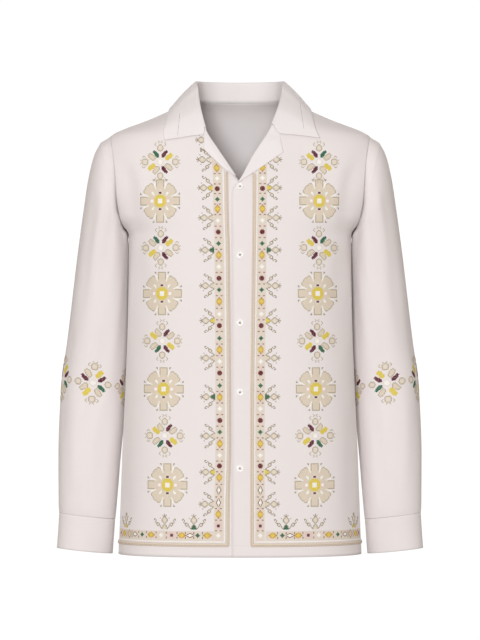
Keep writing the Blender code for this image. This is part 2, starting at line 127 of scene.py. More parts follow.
weave = {
    # scale, detail and roughness of each noise
    "slub": (190.0, 3.0, 0.6),
    "mottle": (14.0, 4.0, 0.55),
    "rows": (1.0, 2.0, 0.6),
    "creases": (55.0, 3.0, 0.6),
    "rowStretch": (40.0, 40.0, 900.0),
    "slubShift": 2.0,
    "mottleStart": 0.35,
    "mottleShare": 1.6,
    "crossShade": 0.25,
    "rowShade": 0.35,
    "roughnessSpread": 0.06,
    "heights": (0.5, 0.6, 0.8),
    "bumpDistance": 0.0004,
}


def clothFinish(name, cloth, centre=(0.0, 0.0), radius=0.15):
    # plain weave: threads round the body by angle and rows by height, with slubs and a soft mottle
    made = Finish(name, cloth["roughness"], Sheen_Weight=cloth["sheen"], Sheen_Roughness=0.55,
                  Specular_IOR_Level=0.22)
    place = made.place()
    x, y, z = [made.node("ShaderNodeSeparateXYZ", {}, {0: place}, out=axis) for axis in range(3)]
    around = (x - centre[0]).math("ARCTAN2", y - centre[1]) * radius
    turns = 2.0 * math.pi / cloth["threadPitch"]
    slub = made.noise(*weave["slub"])
    warp = (around * turns + slub * weave["slubShift"]).math("SINE")
    weft = (z * turns + slub * weave["slubShift"]).math("SINE")
    cross = warp * weft * 0.5 + 0.5
    mottle = made.noise(*weave["mottle"])
    stretched = {axis: (x, y, z)[axis] * stretch for axis, stretch in enumerate(weave["rowStretch"])}
    rows = made.noise(*weave["rows"], made.node("ShaderNodeCombineXYZ", {}, stretched))
    warmth = (mottle - weave["mottleStart"]) * weave["mottleShare"]
    shade = cross * weave["crossShade"] + rows * weave["rowShade"]
    made.feed("Base Color", made.blendColours(
        shade, made.blendColours(warmth, cloth["colour"], cloth["warm"]), cloth["shade"]))
    spread = weave["roughnessSpread"]
    made.feed("Roughness", cross * spread + (cloth["roughness"] - spread / 2.0))
    crossHeight, rowHeight, creaseHeight = weave["heights"]
    height = cross * crossHeight + rows * rowHeight + made.noise(*weave["creases"]) * creaseHeight
    made.bump(height, cloth["bump"], weave["bumpDistance"])
    return made.material


strand = {
    "strands": (1500.0, 2.0, 0.6),
    "patches": (260.0, 2.0, 0.5),
    "patchShade": 0.45,
    "strandShade": 0.35,
    # pale threads show less shade between their strands
    "paleFrom": 0.7,
    "paleDepth": 0.9,
    "depth": 0.74,
    "roughnessSpread": 0.2,
    "roughnessLow": 0.52,
    "bump": 0.35,
    "bumpDistance": 0.0002,
}


def threadFinish(name, colour):
    depth = strand["paleDepth"] if min(colour) > strand["paleFrom"] else strand["depth"]
    dark = tuple(part * depth for part in colour)
    made = Finish(name, 0.62, Sheen_Weight=0.04, Sheen_Roughness=0.5, Specular_IOR_Level=0.15)
    strands = made.noise(*strand["strands"])
    shade = made.noise(*strand["patches"]) * strand["patchShade"] + strands * strand["strandShade"]
    made.feed("Base Color", made.blendColours(shade, colour, dark))
    made.feed("Roughness", strands * strand["roughnessSpread"] + strand["roughnessLow"])
    made.bump(strands, strand["bump"], strand["bumpDistance"])
    return made.material


shell = {
    "bands": (240.0, 3.0, 0.6),
    "clouds": (90.0, 2.0, 0.5),
    "light": (0.93, 0.91, 0.88),
    "dark": (0.86, 0.83, 0.79),
    "cloud": (0.94, 0.93, 0.92),
    "cloudShare": 0.5,
    "roughnessSpread": 0.12,
    "roughnessLow": 0.16,
    "bump": 0.15,
    "bumpDistance": 0.0002,
}


def pearlFinish(name):
    made = Finish(name, 0.22, Coat_Weight=0.6, Coat_Roughness=0.12, Specular_IOR_Level=0.5)
    bands = made.noise(*shell["bands"])
    banded = made.blendColours(bands, shell["light"], shell["dark"])
    clouds = made.noise(*shell["clouds"]) * shell["cloudShare"]
    made.feed("Base Color", made.blendColours(clouds, banded, shell["cloud"]))
    made.feed("Roughness", bands * shell["roughnessSpread"] + shell["roughnessLow"])
    made.bump(bands, shell["bump"], shell["bumpDistance"])
    return made.material


def smoothCurve(keys, values, at):
    # a curve through the points that never swings past them
    keys = np.asarray(keys, float)
    values = np.asarray(values, float)
    at = np.clip(np.asarray(at, float), keys[0], keys[-1])
    widths = np.diff(keys)
    slopes = np.diff(values) / widths
    tangents = np.zeros_like(values)
    tangents[0] = slopes[0]
    tangents[-1] = slopes[-1]
    product = slopes[:-1] * slopes[1:]
    total = slopes[:-1] + slopes[1:]
    safe = np.where(np.abs(total) < 1e-12, 1.0, total)
    tangents[1:-1] = np.where(product > 0.0, 2.0 * product / safe, 0.0)
    place = np.clip(np.searchsorted(keys, at, side="right") - 1, 0, len(keys) - 2)
    width = widths[place]
    t = (at - keys[place]) / width
    return (
        (2 * t ** 3 - 3 * t ** 2 + 1) * values[place]
        + (t ** 3 - 2 * t ** 2 + t) * width * tangents[place]
        + (3 * t ** 2 - 2 * t ** 3) * values[place + 1]
        + (t ** 3 - t ** 2) * width * tangents[place + 1]
    )


torso = {
    # z, half width, front depth, back depth, squareness
    "rows": (
        (-725.0, 194.0, 137.0, 126.0, 2.35),
        (-560.0, 188.0, 135.8, 123.0, 2.35),
        (-370.0, 180.0, 134.0, 122.0, 2.35),
        (-290.0, 178.4, 132.2, 123.0, 2.33),
        (-217.0, 178.0, 128.8, 123.5, 2.25),
        (-185.0, 203.0, 125.6, 122.5, 2.08),
        (-130.0, 221.0, 118.0, 119.0, 2.00),
        (-95.0, 221.0, 106.0, 113.0, 2.00),
        (-72.0, 216.0, 98.0, 107.0, 2.00),
        (-58.5, 207.5, 92.0, 102.0, 2.00),
        (-30.0, 141.0, 79.0, 90.0, 2.00),
        (-16.5, 110.5, 71.0, 82.0, 2.00),
        (0.0, 70.0, 60.0, 68.0, 2.00),
    ),
    "hemZ": -725.0,
    "underarmZ": -217.0,
    "shoulderTipZ": -58.5,
    "neckZ": -1.0,
    "cloth": 1.1,
    "rowStep": 4.6,
    "armholeDensity": 1.4,
    "shoulderRows": 22,
    "frontColumns": 48,
    "backColumns": 88,
    # where the folds fade out: angles on the back and the fronts, then depth below the neck
    "backFade": (92.0, 104.0),
    "frontFade": (76.0, 88.0),
    "topFade": (12.0, 60.0),
    # how far the right front lies under the left one, and from which x
    "underLap": -2.5,
    "underLapX": (-66.0, -36.0),
    # the front edge is set back where the lapel folds over
    "lapelFoldZ": -150.0,
    "lapelFoldGap": 1.1,
    # the turned-up hem is a little thicker
    "hemLift": 0.35,
    "hemFoldZ": (-707.0, -705.5),
}
torsoTable = np.array(torso["rows"])


def torsoValue(column, z):
    return smoothCurve(torsoTable[:, 0], torsoTable[:, column], z)


def signedPower(value, power):
    return np.sign(value) * np.abs(value) ** power


def torsoShape(angle, z):
    angle, z = np.broadcast_arrays(np.asarray(angle, float), np.asarray(z, float))
    power = 2.0 / torsoValue(4, z)
    sine = np.sin(np.radians(angle))
    cosine = np.cos(np.radians(angle))
    depth = np.where(cosine > 0.0, torsoValue(2, z), torsoValue(3, z))
    x = torsoValue(1, z) * signedPower(sine, power)
    return np.stack((x, -depth * signedPower(cosine, power), z), axis=-1)


def unit(vectors):
    return vectors / np.maximum(np.linalg.norm(vectors, axis=-1, keepdims=True), 1e-12)


def torsoNormal(angle, z):
    around = torsoShape(angle + 0.4, z) - torsoShape(angle - 0.4, z)
    top = np.minimum(z + 0.4, 0.0)
    upward = torsoShape(angle, top) - torsoShape(angle, top - 0.8)
    return unit(np.cross(around, upward))


def smoothStep(value, start, end):
    t = np.clip((value - start) / (end - start), 0.0, 1.0)
    return t * t * (3.0 - 2.0 * t)


# Soft folds on the torso: x, z of both ends in millimetres, width, depth (a trough is negative), bow.
torsoFolds = {
    "left": (
        (186, -92, 168, -228, 13, -3.0, 8),
        (172, -80, 150, -205, 15, 1.6, 6),
        (176, -228, 150, -330, 12, -1.5, 5),
        (176, -262, 164, -440, 10, 1.2, -4),
        (96, -60, 118, -150, 20, -0.9, 4),
        (60, -250, 66, -560, 16, -0.7, 5),
        (88, -420, 92, -700, 15, -0.8, -4),
        (182, -470, 176, -715, 10, -1.3, 4),
        (34, -180, 40, -330, 12, 0.5, 2),
    ),
    "right": (
        (187, -90, 170, -232, 13, -2.8, 7),
        (170, -84, 152, -198, 14, 1.5, 5),
        (174, -236, 146, -350, 13, -1.6, 6),
        (178, -280, 166, -470, 10, 1.1, -3),
        (92, -66, 110, -160, 20, -0.9, 3),
        (64, -300, 58, -520, 16, -0.6, -5),
        (90, -380, 96, -640, 15, -0.9, 4),
        (184, -500, 178, -718, 11, -1.2, -3),
    ),
    "back": (
        (150, -96, 120, -270, 16, -3.0, 10),
        (118, -110, 92, -330, 18, 2.0, 8),
        (84, -150, 70, -560, 18, -2.4, 6),
        (52, -230, 44, -700, 17, 1.6, -5),
        (8, -120, -4, -430, 22, -1.4, 6),
        (-16, -360, -22, -716, 18, -2.0, 5),
        (-50, -180, -62, -640, 17, 2.1, -6),
        (-88, -130, -80, -520, 18, -2.6, -8),
        (-124, -100, -104, -300, 16, 2.0, -8),
        (-154, -96, -132, -250, 15, -2.6, -8),
        (150, -330, 156, -690, 14, -1.8, 5),
        (-148, -380, -158, -712, 14, -1.7, -5),
        (112, -470, 118, -720, 13, 1.3, 3),
        (-106, -500, -112, -720, 13, 1.2, -3),
    ),
}


foldFade = {"start": (-0.05, 0.3), "end": (0.62, 1.05)}  # shares of a fold's length


def foldHeight(folds, x, z):
    # the sum of soft troughs and ridges along gently bowed lines
    total = np.zeros(np.broadcast(x, z).shape)
    for startX, startZ, endX, endZ, width, depth, bow in folds:
        length = math.hypot(endX - startX, endZ - startZ)
        alongX, alongZ = (endX - startX) / length, (endZ - startZ) / length
        t = ((x - startX) * alongX + (z - startZ) * alongZ) / length
        across = (x - startX) * alongZ - (z - startZ) * alongX - bow * np.sin(np.pi * np.clip(t, 0.0, 1.0))
        fade = smoothStep(t, *foldFade["start"]) * (1.0 - smoothStep(t, *foldFade["end"]))
        total = total + depth * np.exp(-(across / width) ** 2) * fade
    return total


def torsoPoint(angle, z, lift=0.0, side="left"):
    # a point of the dressed torso with its folds; the angle's sign is the world's
    base = torsoShape(angle, z)
    normal = torsoNormal(angle, z)
    x = base[..., 0]
    if side == "back":
        folds = foldHeight(torsoFolds["back"], x, base[..., 2])
        folds = folds * smoothStep(180.0 - np.abs(180.0 - np.mod(angle, 360.0)), *torso["backFade"])
    else:
        folds = foldHeight(torsoFolds[side], np.abs(x), base[..., 2])
        folds = folds * (1.0 - smoothStep(np.abs(angle), *torso["frontFade"]))
    folds = folds * smoothStep(-base[..., 2], *torso["topFade"])
    under = torso["underLap"] * smoothStep(x, *torso["underLapX"]) if side == "right" else 0.0
    return base + normal * (folds + under + lift)[..., None], normal


def frontAngle(x, z):
    share = np.clip(x / torsoValue(1, z), -1.0, 1.0)
    return np.degrees(np.arcsin(signedPower(share, torsoValue(4, z) / 2.0)))


armhole = np.array((
    # z, front x, back x
    (-217.0, 178.0, 178.0),
    (-205.0, 186.0, 182.0),
    (-190.0, 191.5, 186.0),
    (-165.0, 196.5, 190.5),
    (-130.0, 199.0, 194.0),
    (-95.0, 201.5, 198.5),
    (-75.0, 204.5, 203.0),
    (-58.5, 207.5, 207.5),
))

frontEdge = np.array((
    # z, left x, right x, each on its own side of the centre line
    (-725.0, -13.3, -12.5),
    (-150.0, -13.3, -12.0),
    (-146.0, -13.0, -9.0),
    (-130.0, 0.0, 2.4),
    (-95.0, 18.4, 25.6),
    (-83.0, 25.9, 33.7),
    (-50.0, 46.8, 54.0),
    (-20.0, 60.0, 62.5),
    (-5.0, 65.5, 66.2),
    (-1.0, 67.3, 67.3),
))


def frontEdgeX(side, z):
    return smoothCurve(frontEdge[:, 0], frontEdge[:, 1 if side == "left" else 2], z)


def armholeX(which, z):
    return smoothCurve(armhole[:, 0], armhole[:, 1 if which == "front" else 2], z)


def inArmhole(z):
    return (z > torso["underarmZ"]) & (z < torso["shoulderTipZ"])


def makeObject(name, vertices, faces, materials, faceMaterials=None):
    mesh = bpy.data.meshes.new(name)
    vertices = np.asarray(vertices, np.float32) * toMetres
    faces = np.asarray(faces, np.int32)
    corners = faces.shape[1]
    mesh.vertices.add(len(vertices))
    mesh.vertices.foreach_set("co", vertices.ravel())
    mesh.loops.add(faces.size)
    mesh.loops.foreach_set("vertex_index", faces.ravel())
    mesh.polygons.add(len(faces))
    mesh.polygons.foreach_set("loop_start", np.arange(0, faces.size, corners, dtype=np.int32))
    for material in materials:
        mesh.materials.append(material)
    if faceMaterials is not None:
        mesh.polygons.foreach_set("material_index", np.asarray(faceMaterials, np.int32))
    mesh.update(calc_edges=True)
    mesh.validate()
    mesh.shade_smooth()
    made = bpy.data.objects.new(name, mesh)
    bpy.context.scene.collection.objects.link(made)
    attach(made, "root")
    return made


def gridFaces(rows, columns, wrap=False, offset=0, flip=False):
    index = np.arange(rows * columns).reshape(rows, columns) + offset
    if wrap:
        index = np.concatenate((index, index[:, :1]), axis=1)
    corners = [index[:-1, :-1], index[:-1, 1:], index[1:, 1:], index[1:, :-1]]
    if flip:
        corners.reverse()
    return np.stack([corner.ravel() for corner in corners], axis=1)


def rimFaces(line, offset):
    # quads between an edge line of the outer face and the same line of the inner one
    line = np.asarray(line)
    return np.stack((line[:-1], line[:-1] + offset, line[1:] + offset, line[1:]), axis=1)


def clothShell(name, points, normals, thickness, material, wrap=False):
    # a thin cloth wall: the outer face as given and the inner one a thickness behind it
    rows, columns = points.shape[:2]
    count = rows * columns
    vertices = np.concatenate((points.reshape(-1, 3), (points - normals * thickness).reshape(-1, 3)))
    index = np.arange(count).reshape(rows, columns)
    parts = [gridFaces(rows, columns, wrap), gridFaces(rows, columns, wrap, count, flip=True)]
    first, last = index[0], index[-1]
    if wrap:
        first, last = np.append(first, first[0]), np.append(last, last[0])
    parts += [rimFaces(first, count), rimFaces(last[::-1], count)]
    if not wrap:
        parts += [rimFaces(index[::-1, 0], count), rimFaces(index[:, -1], count)]
    return makeObject(name, vertices, np.concatenate(parts), [material])


def gridNormals(points, wrap=False):
    if wrap:
        around = np.roll(points, -1, axis=1) - np.roll(points, 1, axis=1)
    else:
        around = np.gradient(points, axis=1)
    along = np.gradient(points, axis=0)
    return unit(np.cross(around, along))


def panelHeights():
    hemZ, underarmZ, tipZ = torso["hemZ"], torso["underarmZ"], torso["shoulderTipZ"]
    armholeRows = int((tipZ - underarmZ) / torso["rowStep"] * torso["armholeDensity"])
    low = np.linspace(hemZ, underarmZ, int((underarmZ - hemZ) / torso["rowStep"]))
    high = np.linspace(tipZ, torso["neckZ"], torso["shoulderRows"])
    return np.concatenate((low[:-1], np.linspace(underarmZ, tipZ, armholeRows)[:-1], high))


look = {
    "cloth": {"colour": (0.805, 0.755, 0.743), "warm": (0.80, 0.745, 0.72), "shade": (0.745, 0.695, 0.68),
              "roughness": 0.86, "sheen": 0.12, "bump": 0.35, "threadPitch": 0.00075},
    "collar": {"colour": (0.83, 0.785, 0.775), "warm": (0.825, 0.775, 0.755), "shade": (0.77, 0.725, 0.71),
               "roughness": 0.84, "sheen": 0.12, "bump": 0.28, "threadPitch": 0.00075},
    "threads": {
        "beige": (0.79, 0.69, 0.545),
        "outline": (0.50, 0.42, 0.27),
        "olive": (0.34, 0.28, 0.17),
        "ground": (0.81, 0.72, 0.61),
        "lemon": (0.80, 0.64, 0.09),
        "amber": (0.68, 0.37, 0.035),
        "burgundy": (0.115, 0.006, 0.022),
        "darkRed": (0.13, 0.006, 0.008),
        "green": (0.018, 0.135, 0.055),
        "white": (0.93, 0.90, 0.84),
        "brown": (0.24, 0.13, 0.06),
        "pink": (0.83, 0.64, 0.58),
        "pale": (0.84, 0.76, 0.66),
        "cord": (0.74, 0.63, 0.51),
    },
    "darkSewing": (0.20, 0.15, 0.12),
    "sewing": (0.74, 0.68, 0.63),
}
bodyCloth = clothFinish("bodyCloth", look["cloth"])
collarCloth = clothFinish("collarCloth", look["collar"])
sleeveCloth = {
    side: clothFinish("sleeveCloth" + side.title(), look["cloth"], (sign * 0.237, 0.035), 0.056)
    for side, sign in signs.items()
}
threadNames = list(look["threads"])
threads = [threadFinish(name + "Thread", colour) for name, colour in look["threads"].items()]
darkSewing = threadFinish("darkSewingThread", look["darkSewing"])
pearl = pearlFinish("pearlButton")
print("materials ready")


def torsoPanel(angles, heights, side):
    z = np.broadcast_to(heights[:, None], angles.shape)
    points, normals = torsoPoint(angles, z, 0.0, side)
    hem = torso["hemLift"] * (1.0 - smoothStep(z, *torso["hemFoldZ"]))
    return points + normals * hem[..., None], normals


def frontPanel(side):
    heights = panelHeights()
    edge = frontEdgeX(side, heights) + np.where(heights > torso["lapelFoldZ"], torso["lapelFoldGap"], 0.0)
    start = frontAngle(edge, heights)
    end = np.where(inArmhole(heights), frontAngle(armholeX("front", heights), heights), 90.0)
    share = np.linspace(0.0, 1.0, torso["frontColumns"] + 1)
    angles = (start[:, None] + (end - start)[:, None] * share[None, :]) * signs[side]
    return torsoPanel(angles if side == "left" else angles[:, ::-1], heights, side)


def backPanel():
    heights = panelHeights()
    side = np.where(inArmhole(heights), 180.0 - frontAngle(armholeX("back", heights), heights), 90.0)
    share = np.linspace(0.0, 1.0, torso["backColumns"] + 1)
    return torsoPanel(side[:, None] + (360.0 - 2.0 * side)[:, None] * share[None, :], heights, "back")


for side in ("left", "right"):
    points, normals = frontPanel(side)
    front = clothShell("front_" + side + "_cloth", points, normals, torso["cloth"], bodyCloth)
    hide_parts("front_" + side)
points, normals = backPanel()
back = clothShell("back_cloth", points, normals, torso["cloth"], bodyCloth)
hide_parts("back_left", "back_right")
print("fronts and back cut")


sleeve = {
    # outer x, z, y, inner x, z, y, half depth, share of the armhole's shape
    "rows": (
        (223.5, -68.5, 4.0, 179.2, -222.5, 12.0, 64.0, 0.8),
        (233.0, -87.0, 7.0, 178.3, -238.0, 22.0, 70.0, 0.5),
        (242.5, -123.0, 12.0, 178.2, -260.0, 30.0, 74.0, 0.25),
        (251.5, -180.0, 20.0, 177.9, -290.0, 36.0, 74.0, 0.08),
        (261.5, -252.0, 28.0, 177.9, -335.0, 42.0, 72.0, 0.0),
        (271.0, -330.0, 34.0, 178.8, -385.0, 45.0, 69.0, 0.0),
        (278.5, -390.0, 38.0, 180.2, -425.0, 46.0, 65.0, 0.0),
        (286.0, -440.0, 40.0, 182.8, -465.0, 45.0, 61.0, 0.0),
        (290.3, -505.0, 39.0, 187.0, -520.0, 42.0, 57.0, 0.0),
        (292.0, -562.0, 36.0, 191.8, -572.0, 38.0, 52.5, 0.0),
        (291.7, -615.0, 32.0, 195.8, -622.0, 34.0, 47.5, 0.0),
        (291.3, -650.0, 30.0, 199.0, -659.0, 31.0, 42.5, 0.0),
        (290.5, -660.8, 29.0, 200.3, -670.8, 30.0, 39.5, 0.0),
    ),
    "cuffRows": (
        (289.9, -661.0, 29.0, 201.0, -671.0, 30.0, 39.3, 0.0),
        (291.6, -690.0, 28.5, 203.0, -699.5, 29.5, 38.0, 0.0),
        (293.7, -717.5, 28.0, 205.0, -726.5, 29.0, 38.0, 0.0),
    ),
    "ringPoints": 64,
    "rowCount": 150,
    "cuffRowCount": 22,
    "foldFade": (0.3, 2.0),
    "foldEnd": (10.6, 11.9),
    "cloth": 1.1,
    "cuffCloth": 1.5,
}

# Soft folds on a sleeve: turn in degrees (0 outer, 90 front, 180 inner) and height of both ends, width in
# millimetres, depth, bow.
sleeveFolds = {
    "left": (
        (118, -150, 96, -330, 11, -2.6, 10),
        (84, -120, 62, -300, 13, 1.8, 8),
        (56, -140, 44, -420, 12, -2.0, -6),
        (140, -260, 122, -420, 11, 1.6, 6),
        (100, -330, 84, -540, 12, -1.8, -8),
        (60, -430, 72, -640, 12, 1.5, 6),
        (124, -450, 112, -655, 11, -1.9, 5),
        (92, -590, 88, -662, 9, -1.2, 2),
        (30, -300, 22, -560, 12, -1.5, 5),
        (240, -150, 262, -400, 13, -2.4, -8),
        (290, -180, 276, -470, 13, 1.9, 8),
        (322, -240, 310, -600, 12, -2.0, 6),
        (216, -300, 232, -620, 12, 1.7, -6),
        (262, -480, 256, -660, 11, -1.8, 4),
    ),
    "right": (
        (116, -158, 98, -322, 11, -2.4, 9),
        (86, -128, 66, -318, 13, 1.7, 7),
        (52, -150, 46, -390, 12, -1.8, -5),
        (138, -272, 124, -440, 11, 1.6, 5),
        (102, -352, 82, -560, 12, -1.9, -7),
        (64, -450, 70, -648, 12, 1.4, 5),
        (122, -470, 116, -650, 11, -1.7, 4),
        (86, -600, 90, -662, 9, -1.1, -2),
        (28, -320, 24, -590, 12, -1.4, -5),
        (244, -160, 258, -420, 13, -2.2, -7),
        (286, -200, 280, -500, 13, 1.8, 7),
        (318, -260, 314, -570, 12, -1.9, 5),
        (220, -320, 230, -600, 12, 1.6, -5),
        (258, -500, 260, -660, 11, -1.7, 3),
    ),
}


def armholeLoop(turn):
    # the seam line by turn, from the shoulder tip down the front to the underarm and up the back
    turn = np.mod(turn, 2.0 * np.pi)
    drop = 0.5 - 0.5 * np.cos(turn)
    z = torso["shoulderTipZ"] + (torso["underarmZ"] - torso["shoulderTipZ"]) * drop
    front = torsoShape(frontAngle(armholeX("front", z), z), z)
    behind = torsoShape(180.0 - frontAngle(armholeX("back", z), z), z)
    return np.where((turn <= np.pi)[..., None], front, behind)


def ringShape(values, turn):
    outer = np.stack((values[0], values[2], values[1]), axis=-1)
    inner = np.stack((values[3], values[5], values[4]), axis=-1)
    share = (0.5 + 0.5 * np.cos(turn))[..., None]
    ring = inner + (outer - inner) * share
    ring[..., 1] -= values[6] * np.sin(turn)
    loop = armholeLoop(turn)
    top = armholeLoop(np.zeros(1))[0]
    bottom = armholeLoop(np.full(1, np.pi))[0]
    oval = bottom + (top - bottom) * share
    ring[..., 0] += (loop[..., 0] - oval[..., 0]) * values[7]
    return ring


def tubePoint(rows, place, turn):
    # place counts along the table's rows; turn is in radians; the left sleeve
    table = np.array(rows)
    place, turn = np.broadcast_arrays(np.asarray(place, float), np.asarray(turn, float))
    keys = np.arange(len(table))
    values = [smoothCurve(keys, table[:, column], place) for column in range(8)]
    return ringShape(values, turn)


def sleevePoint(side, place, turn, lift=0.0):
    rows = sleeve["rows"]
    base = tubePoint(rows, place, turn)
    around = tubePoint(rows, place, turn + 0.03) - tubePoint(rows, place, turn - 0.03)
    ahead = np.minimum(place + 0.05, len(rows) - 1.0)
    along = tubePoint(rows, ahead, turn) - tubePoint(rows, ahead - 0.1, turn)
    normal = unit(np.cross(around, along))
    degrees = np.degrees(np.mod(turn, 2.0 * np.pi))
    folds = foldHeight(sleeveFolds[side], degrees, base[..., 2])
    folds = folds * smoothStep(place, *sleeve["foldFade"]) * (1.0 - smoothStep(place, *sleeve["foldEnd"]))
    points = base + normal * (folds + lift)[..., None]
    if side == "right":
        points, normal = points * mirrorX, normal * mirrorX
    return points, normal


for side in ("left", "right"):
    turns = np.linspace(0.0, 2.0 * np.pi, sleeve["ringPoints"], endpoint=False)
    places = np.linspace(0.0, len(sleeve["rows"]) - 1.0, sleeve["rowCount"])
    turnGrid, placeGrid = np.meshgrid(turns, places)
    points, normals = sleevePoint(side, placeGrid, turnGrid, np.zeros_like(turnGrid))
    seam = armholeLoop(turns) - np.array((0.6, 0.0, 0.0))  # the sleeve's edge is tucked under the seam
    if side == "right":
        seam = seam * mirrorX
    points = np.concatenate((seam[None], points))[::-1]
    normals = np.concatenate((normals[:1], normals))[::-1]
    if side == "left":
        points, normals = points[:, ::-1], normals[:, ::-1]
    piece = clothShell("sleeve_" + side + "_cloth", points, normals, sleeve["cloth"], sleeveCloth[side],
                       wrap=True)
    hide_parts(*["sleeve_" + side + part for part in ("_cap", "_top", "_front", "_back")])

    places = np.linspace(0.0, len(sleeve["cuffRows"]) - 1.0, sleeve["cuffRowCount"])
    turnGrid, placeGrid = np.meshgrid(turns, places)
    points = tubePoint(sleeve["cuffRows"], placeGrid, turnGrid)
    points = (points * mirrorX if side == "right" else points)[::-1]
    if side == "left":
        points = points[:, ::-1]
    normals = gridNormals(points, wrap=True)
    piece = clothShell("cuff_" + side + "_cloth", points + normals * 0.5, normals, sleeve["cuffCloth"],
                       sleeveCloth[side], wrap=True)
    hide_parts("cuff_" + side)
print("sleeves and cuffs made")


lapel = {
    # z and distance of the outer edge, from the gorge by the notch and the point down to the fold
    "left": ((-42.0, 54.5), (-46.5, 57.0), (-53.0, 61.0), (-58.0, 63.0), (-61.0, 62.6), (-73.5, 65.2),
             (-87.3, 68.4), (-99.0, 52.2),
             (-111.0, 34.8), (-121.6, 18.9), (-128.6, 8.4), (-134.5, 0.5)),
    "right": ((-46.0, 58.5), (-51.0, 59.5), (-57.0, 59.0), (-61.2, 56.6), (-72.0, 56.4), (-82.3, 57.4),
              (-95.0, 44.7),
              (-107.9, 31.7), (-116.5, 21.2), (-124.5, 9.5)),
    "roll": ((0.9, -1.15), (0.15, -0.75), (-0.1, 0.05), (0.25, 0.95), (1.3, 1.75), (3.2, 2.05)),
    "lift": 1.9,
    "rowStep": 1.6,
    "columns": 22,
    "swell": 1.2,
    "swellZ": (-72.0, -60.0),
    "tuckZ": (-64.0, -56.0),
    "cloth": 1.0,
    "cut": {"left": ((0.070, 0.095), 0.0028), "right": ((0.045, 0.075), 0.0014)},
}


def frontPoint(x, z, lift):
    z = np.asarray(z, float)
    angle = frontAngle(np.asarray(x, float), z)
    return torsoShape(angle, z) + torsoNormal(angle, z) * np.asarray(lift, float)[..., None]


def lapelPoints(side):
    sign = signs[side]
    edges = np.array(lapel[side][::-1])
    corners = [row[0] for row in edges]
    heights = []
    for low, high in zip(corners, corners[1:]):
        count = max(2, int((high - low) / lapel["rowStep"]))
        heights += list(np.linspace(low, high, count, endpoint=False))
    heights = np.array(heights + [corners[-1]])
    edge = np.interp(heights, edges[:, 0], edges[:, 1])
    fold = frontEdgeX(side, heights)
    rollX = np.array([x for x, lift in lapel["roll"]])
    rollLift = np.array([lift for x, lift in lapel["roll"]])
    inner = np.minimum(rollX[None, :], np.maximum(edge - fold, 0.2)[:, None])
    share = np.linspace(0.0, 1.0, lapel["columns"])[1:]
    flatX = (fold + rollX[-1])[:, None] + (edge - fold - rollX[-1])[:, None] * share[None, :]
    x = np.concatenate((fold[:, None] + inner, flatX), axis=1)
    swell = np.sin(np.pi * share) * lapel["swell"] * (1.0 - smoothStep(heights, *lapel["swellZ"]))[:, None]
    tuck = smoothStep(heights, *lapel["tuckZ"])[:, None]  # the top lies flat under the collar
    lift = np.concatenate((np.broadcast_to(rollLift, (len(heights), len(rollLift))) * (1.0 - 0.3 * tuck),
                           lapel["lift"] + swell - 0.6 * tuck), axis=1)
    z = np.broadcast_to(heights[:, None], x.shape)
    points = frontPoint(x * sign, z, lift)
    if sign < 0:
        points = points[:, ::-1]
    return points


for side in ("left", "right"):
    points = lapelPoints(side)
    piece = clothShell("lapel_" + side + "_cloth", points, gridNormals(points), lapel["cloth"], collarCloth)
    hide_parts("lapel_" + side)


collar = {
    # seam angle, seam z, stand, lean, edge angle, edge z, from centre back to the side
    "rows": (
        (180.0, 0.0, 30.5, 0.0, 180.0, -26.0),
        (150.0, 0.0, 30.5, 0.0, 150.0, -25.4),
        (120.0, 0.0, 30.3, 0.0, 122.0, -21.0),
        (90.0, 0.0, 29.0, 2.0, 90.0, -16.5),
        (68.4, -1.0, 21.5, 10.0, 59.0, -26.0),
        (53.0, -5.0, 12.5, 22.0, 44.0, -40.0),
    ),
    "lowZ": -20.0,
    "lowStand": (6.5, 30.0),
    "lowEdge": (36.5, -55.0),
    "ends": {
        "left": {"z": -44.5, "notch": (61.6, -57.4), "tip": (126.0, -65.1)},
        "right": {"z": -50.0, "notch": (57.6, -59.0), "tip": (119.6, -68.7)},
    },
    "endStand": (4.5, 50.0),
    "fold": ((-1.3, 0.0), (0.0, 1.4), (-1.3, 2.8)),
    "fallSteps": (0.18, 0.46, 0.73, 1.0),
    "lift": 2.9,
    "swell": 1.6,
    # how far the seam's edge is tucked down and in; the middle of a stand below fullStand lies lower
    "tuck": (2.2, 1.3),
    "fullStand": 8.0,
    "lowBend": 1.5,
    "lowFold": 2.8,
    "swellUp": 20.0,
    "stations": 84,
    "steps": (3, 4, 2, 2, 5, 7, 7, 8),
    "cloth": 1.5,
}


def torsoVector(angle, z, lift=0.0):
    point = torsoShape(angle, z) + torsoNormal(np.array(angle), np.array(z)) * lift
    return Vector(point)


def frontVector(x, z, lift):
    return torsoVector(float(frontAngle(x, z)), z, lift)


def collarSections(side):
    end = collar["ends"][side]
    sections = []
    for seamAngle, seamZ, stand, lean, edgeAngle, edgeZ in collar["rows"]:
        seam = torsoVector(seamAngle, seamZ)
        sections.append((seam, stand, lean, torsoVector(edgeAngle, edgeZ, collar["lift"])))
    lowSeam = frontVector(float(frontEdgeX(side, collar["lowZ"])), collar["lowZ"], 0.8)
    sections.append((lowSeam, *collar["lowStand"], torsoVector(*collar["lowEdge"], collar["lift"])))
    endSeam = frontVector(float(frontEdgeX(side, end["z"])) + 0.4, end["z"], 1.2)
    sections.append((endSeam, *collar["endStand"], frontVector(*end["tip"], collar["lift"])))
    return sections


def clearOfShirt(point, lift):
    if point.z > -3.0 or abs(point.x) >= float(torsoValue(1, point.z)):
        return point
    angle = float(frontAngle(point.x, point.z))
    if point.y < 0.0:
        return Vector((point.x, min(point.y, torsoVector(angle, point.z, lift).y), point.z))
    return Vector((point.x, max(point.y, torsoVector(180.0 - angle, point.z, lift).y), point.z))


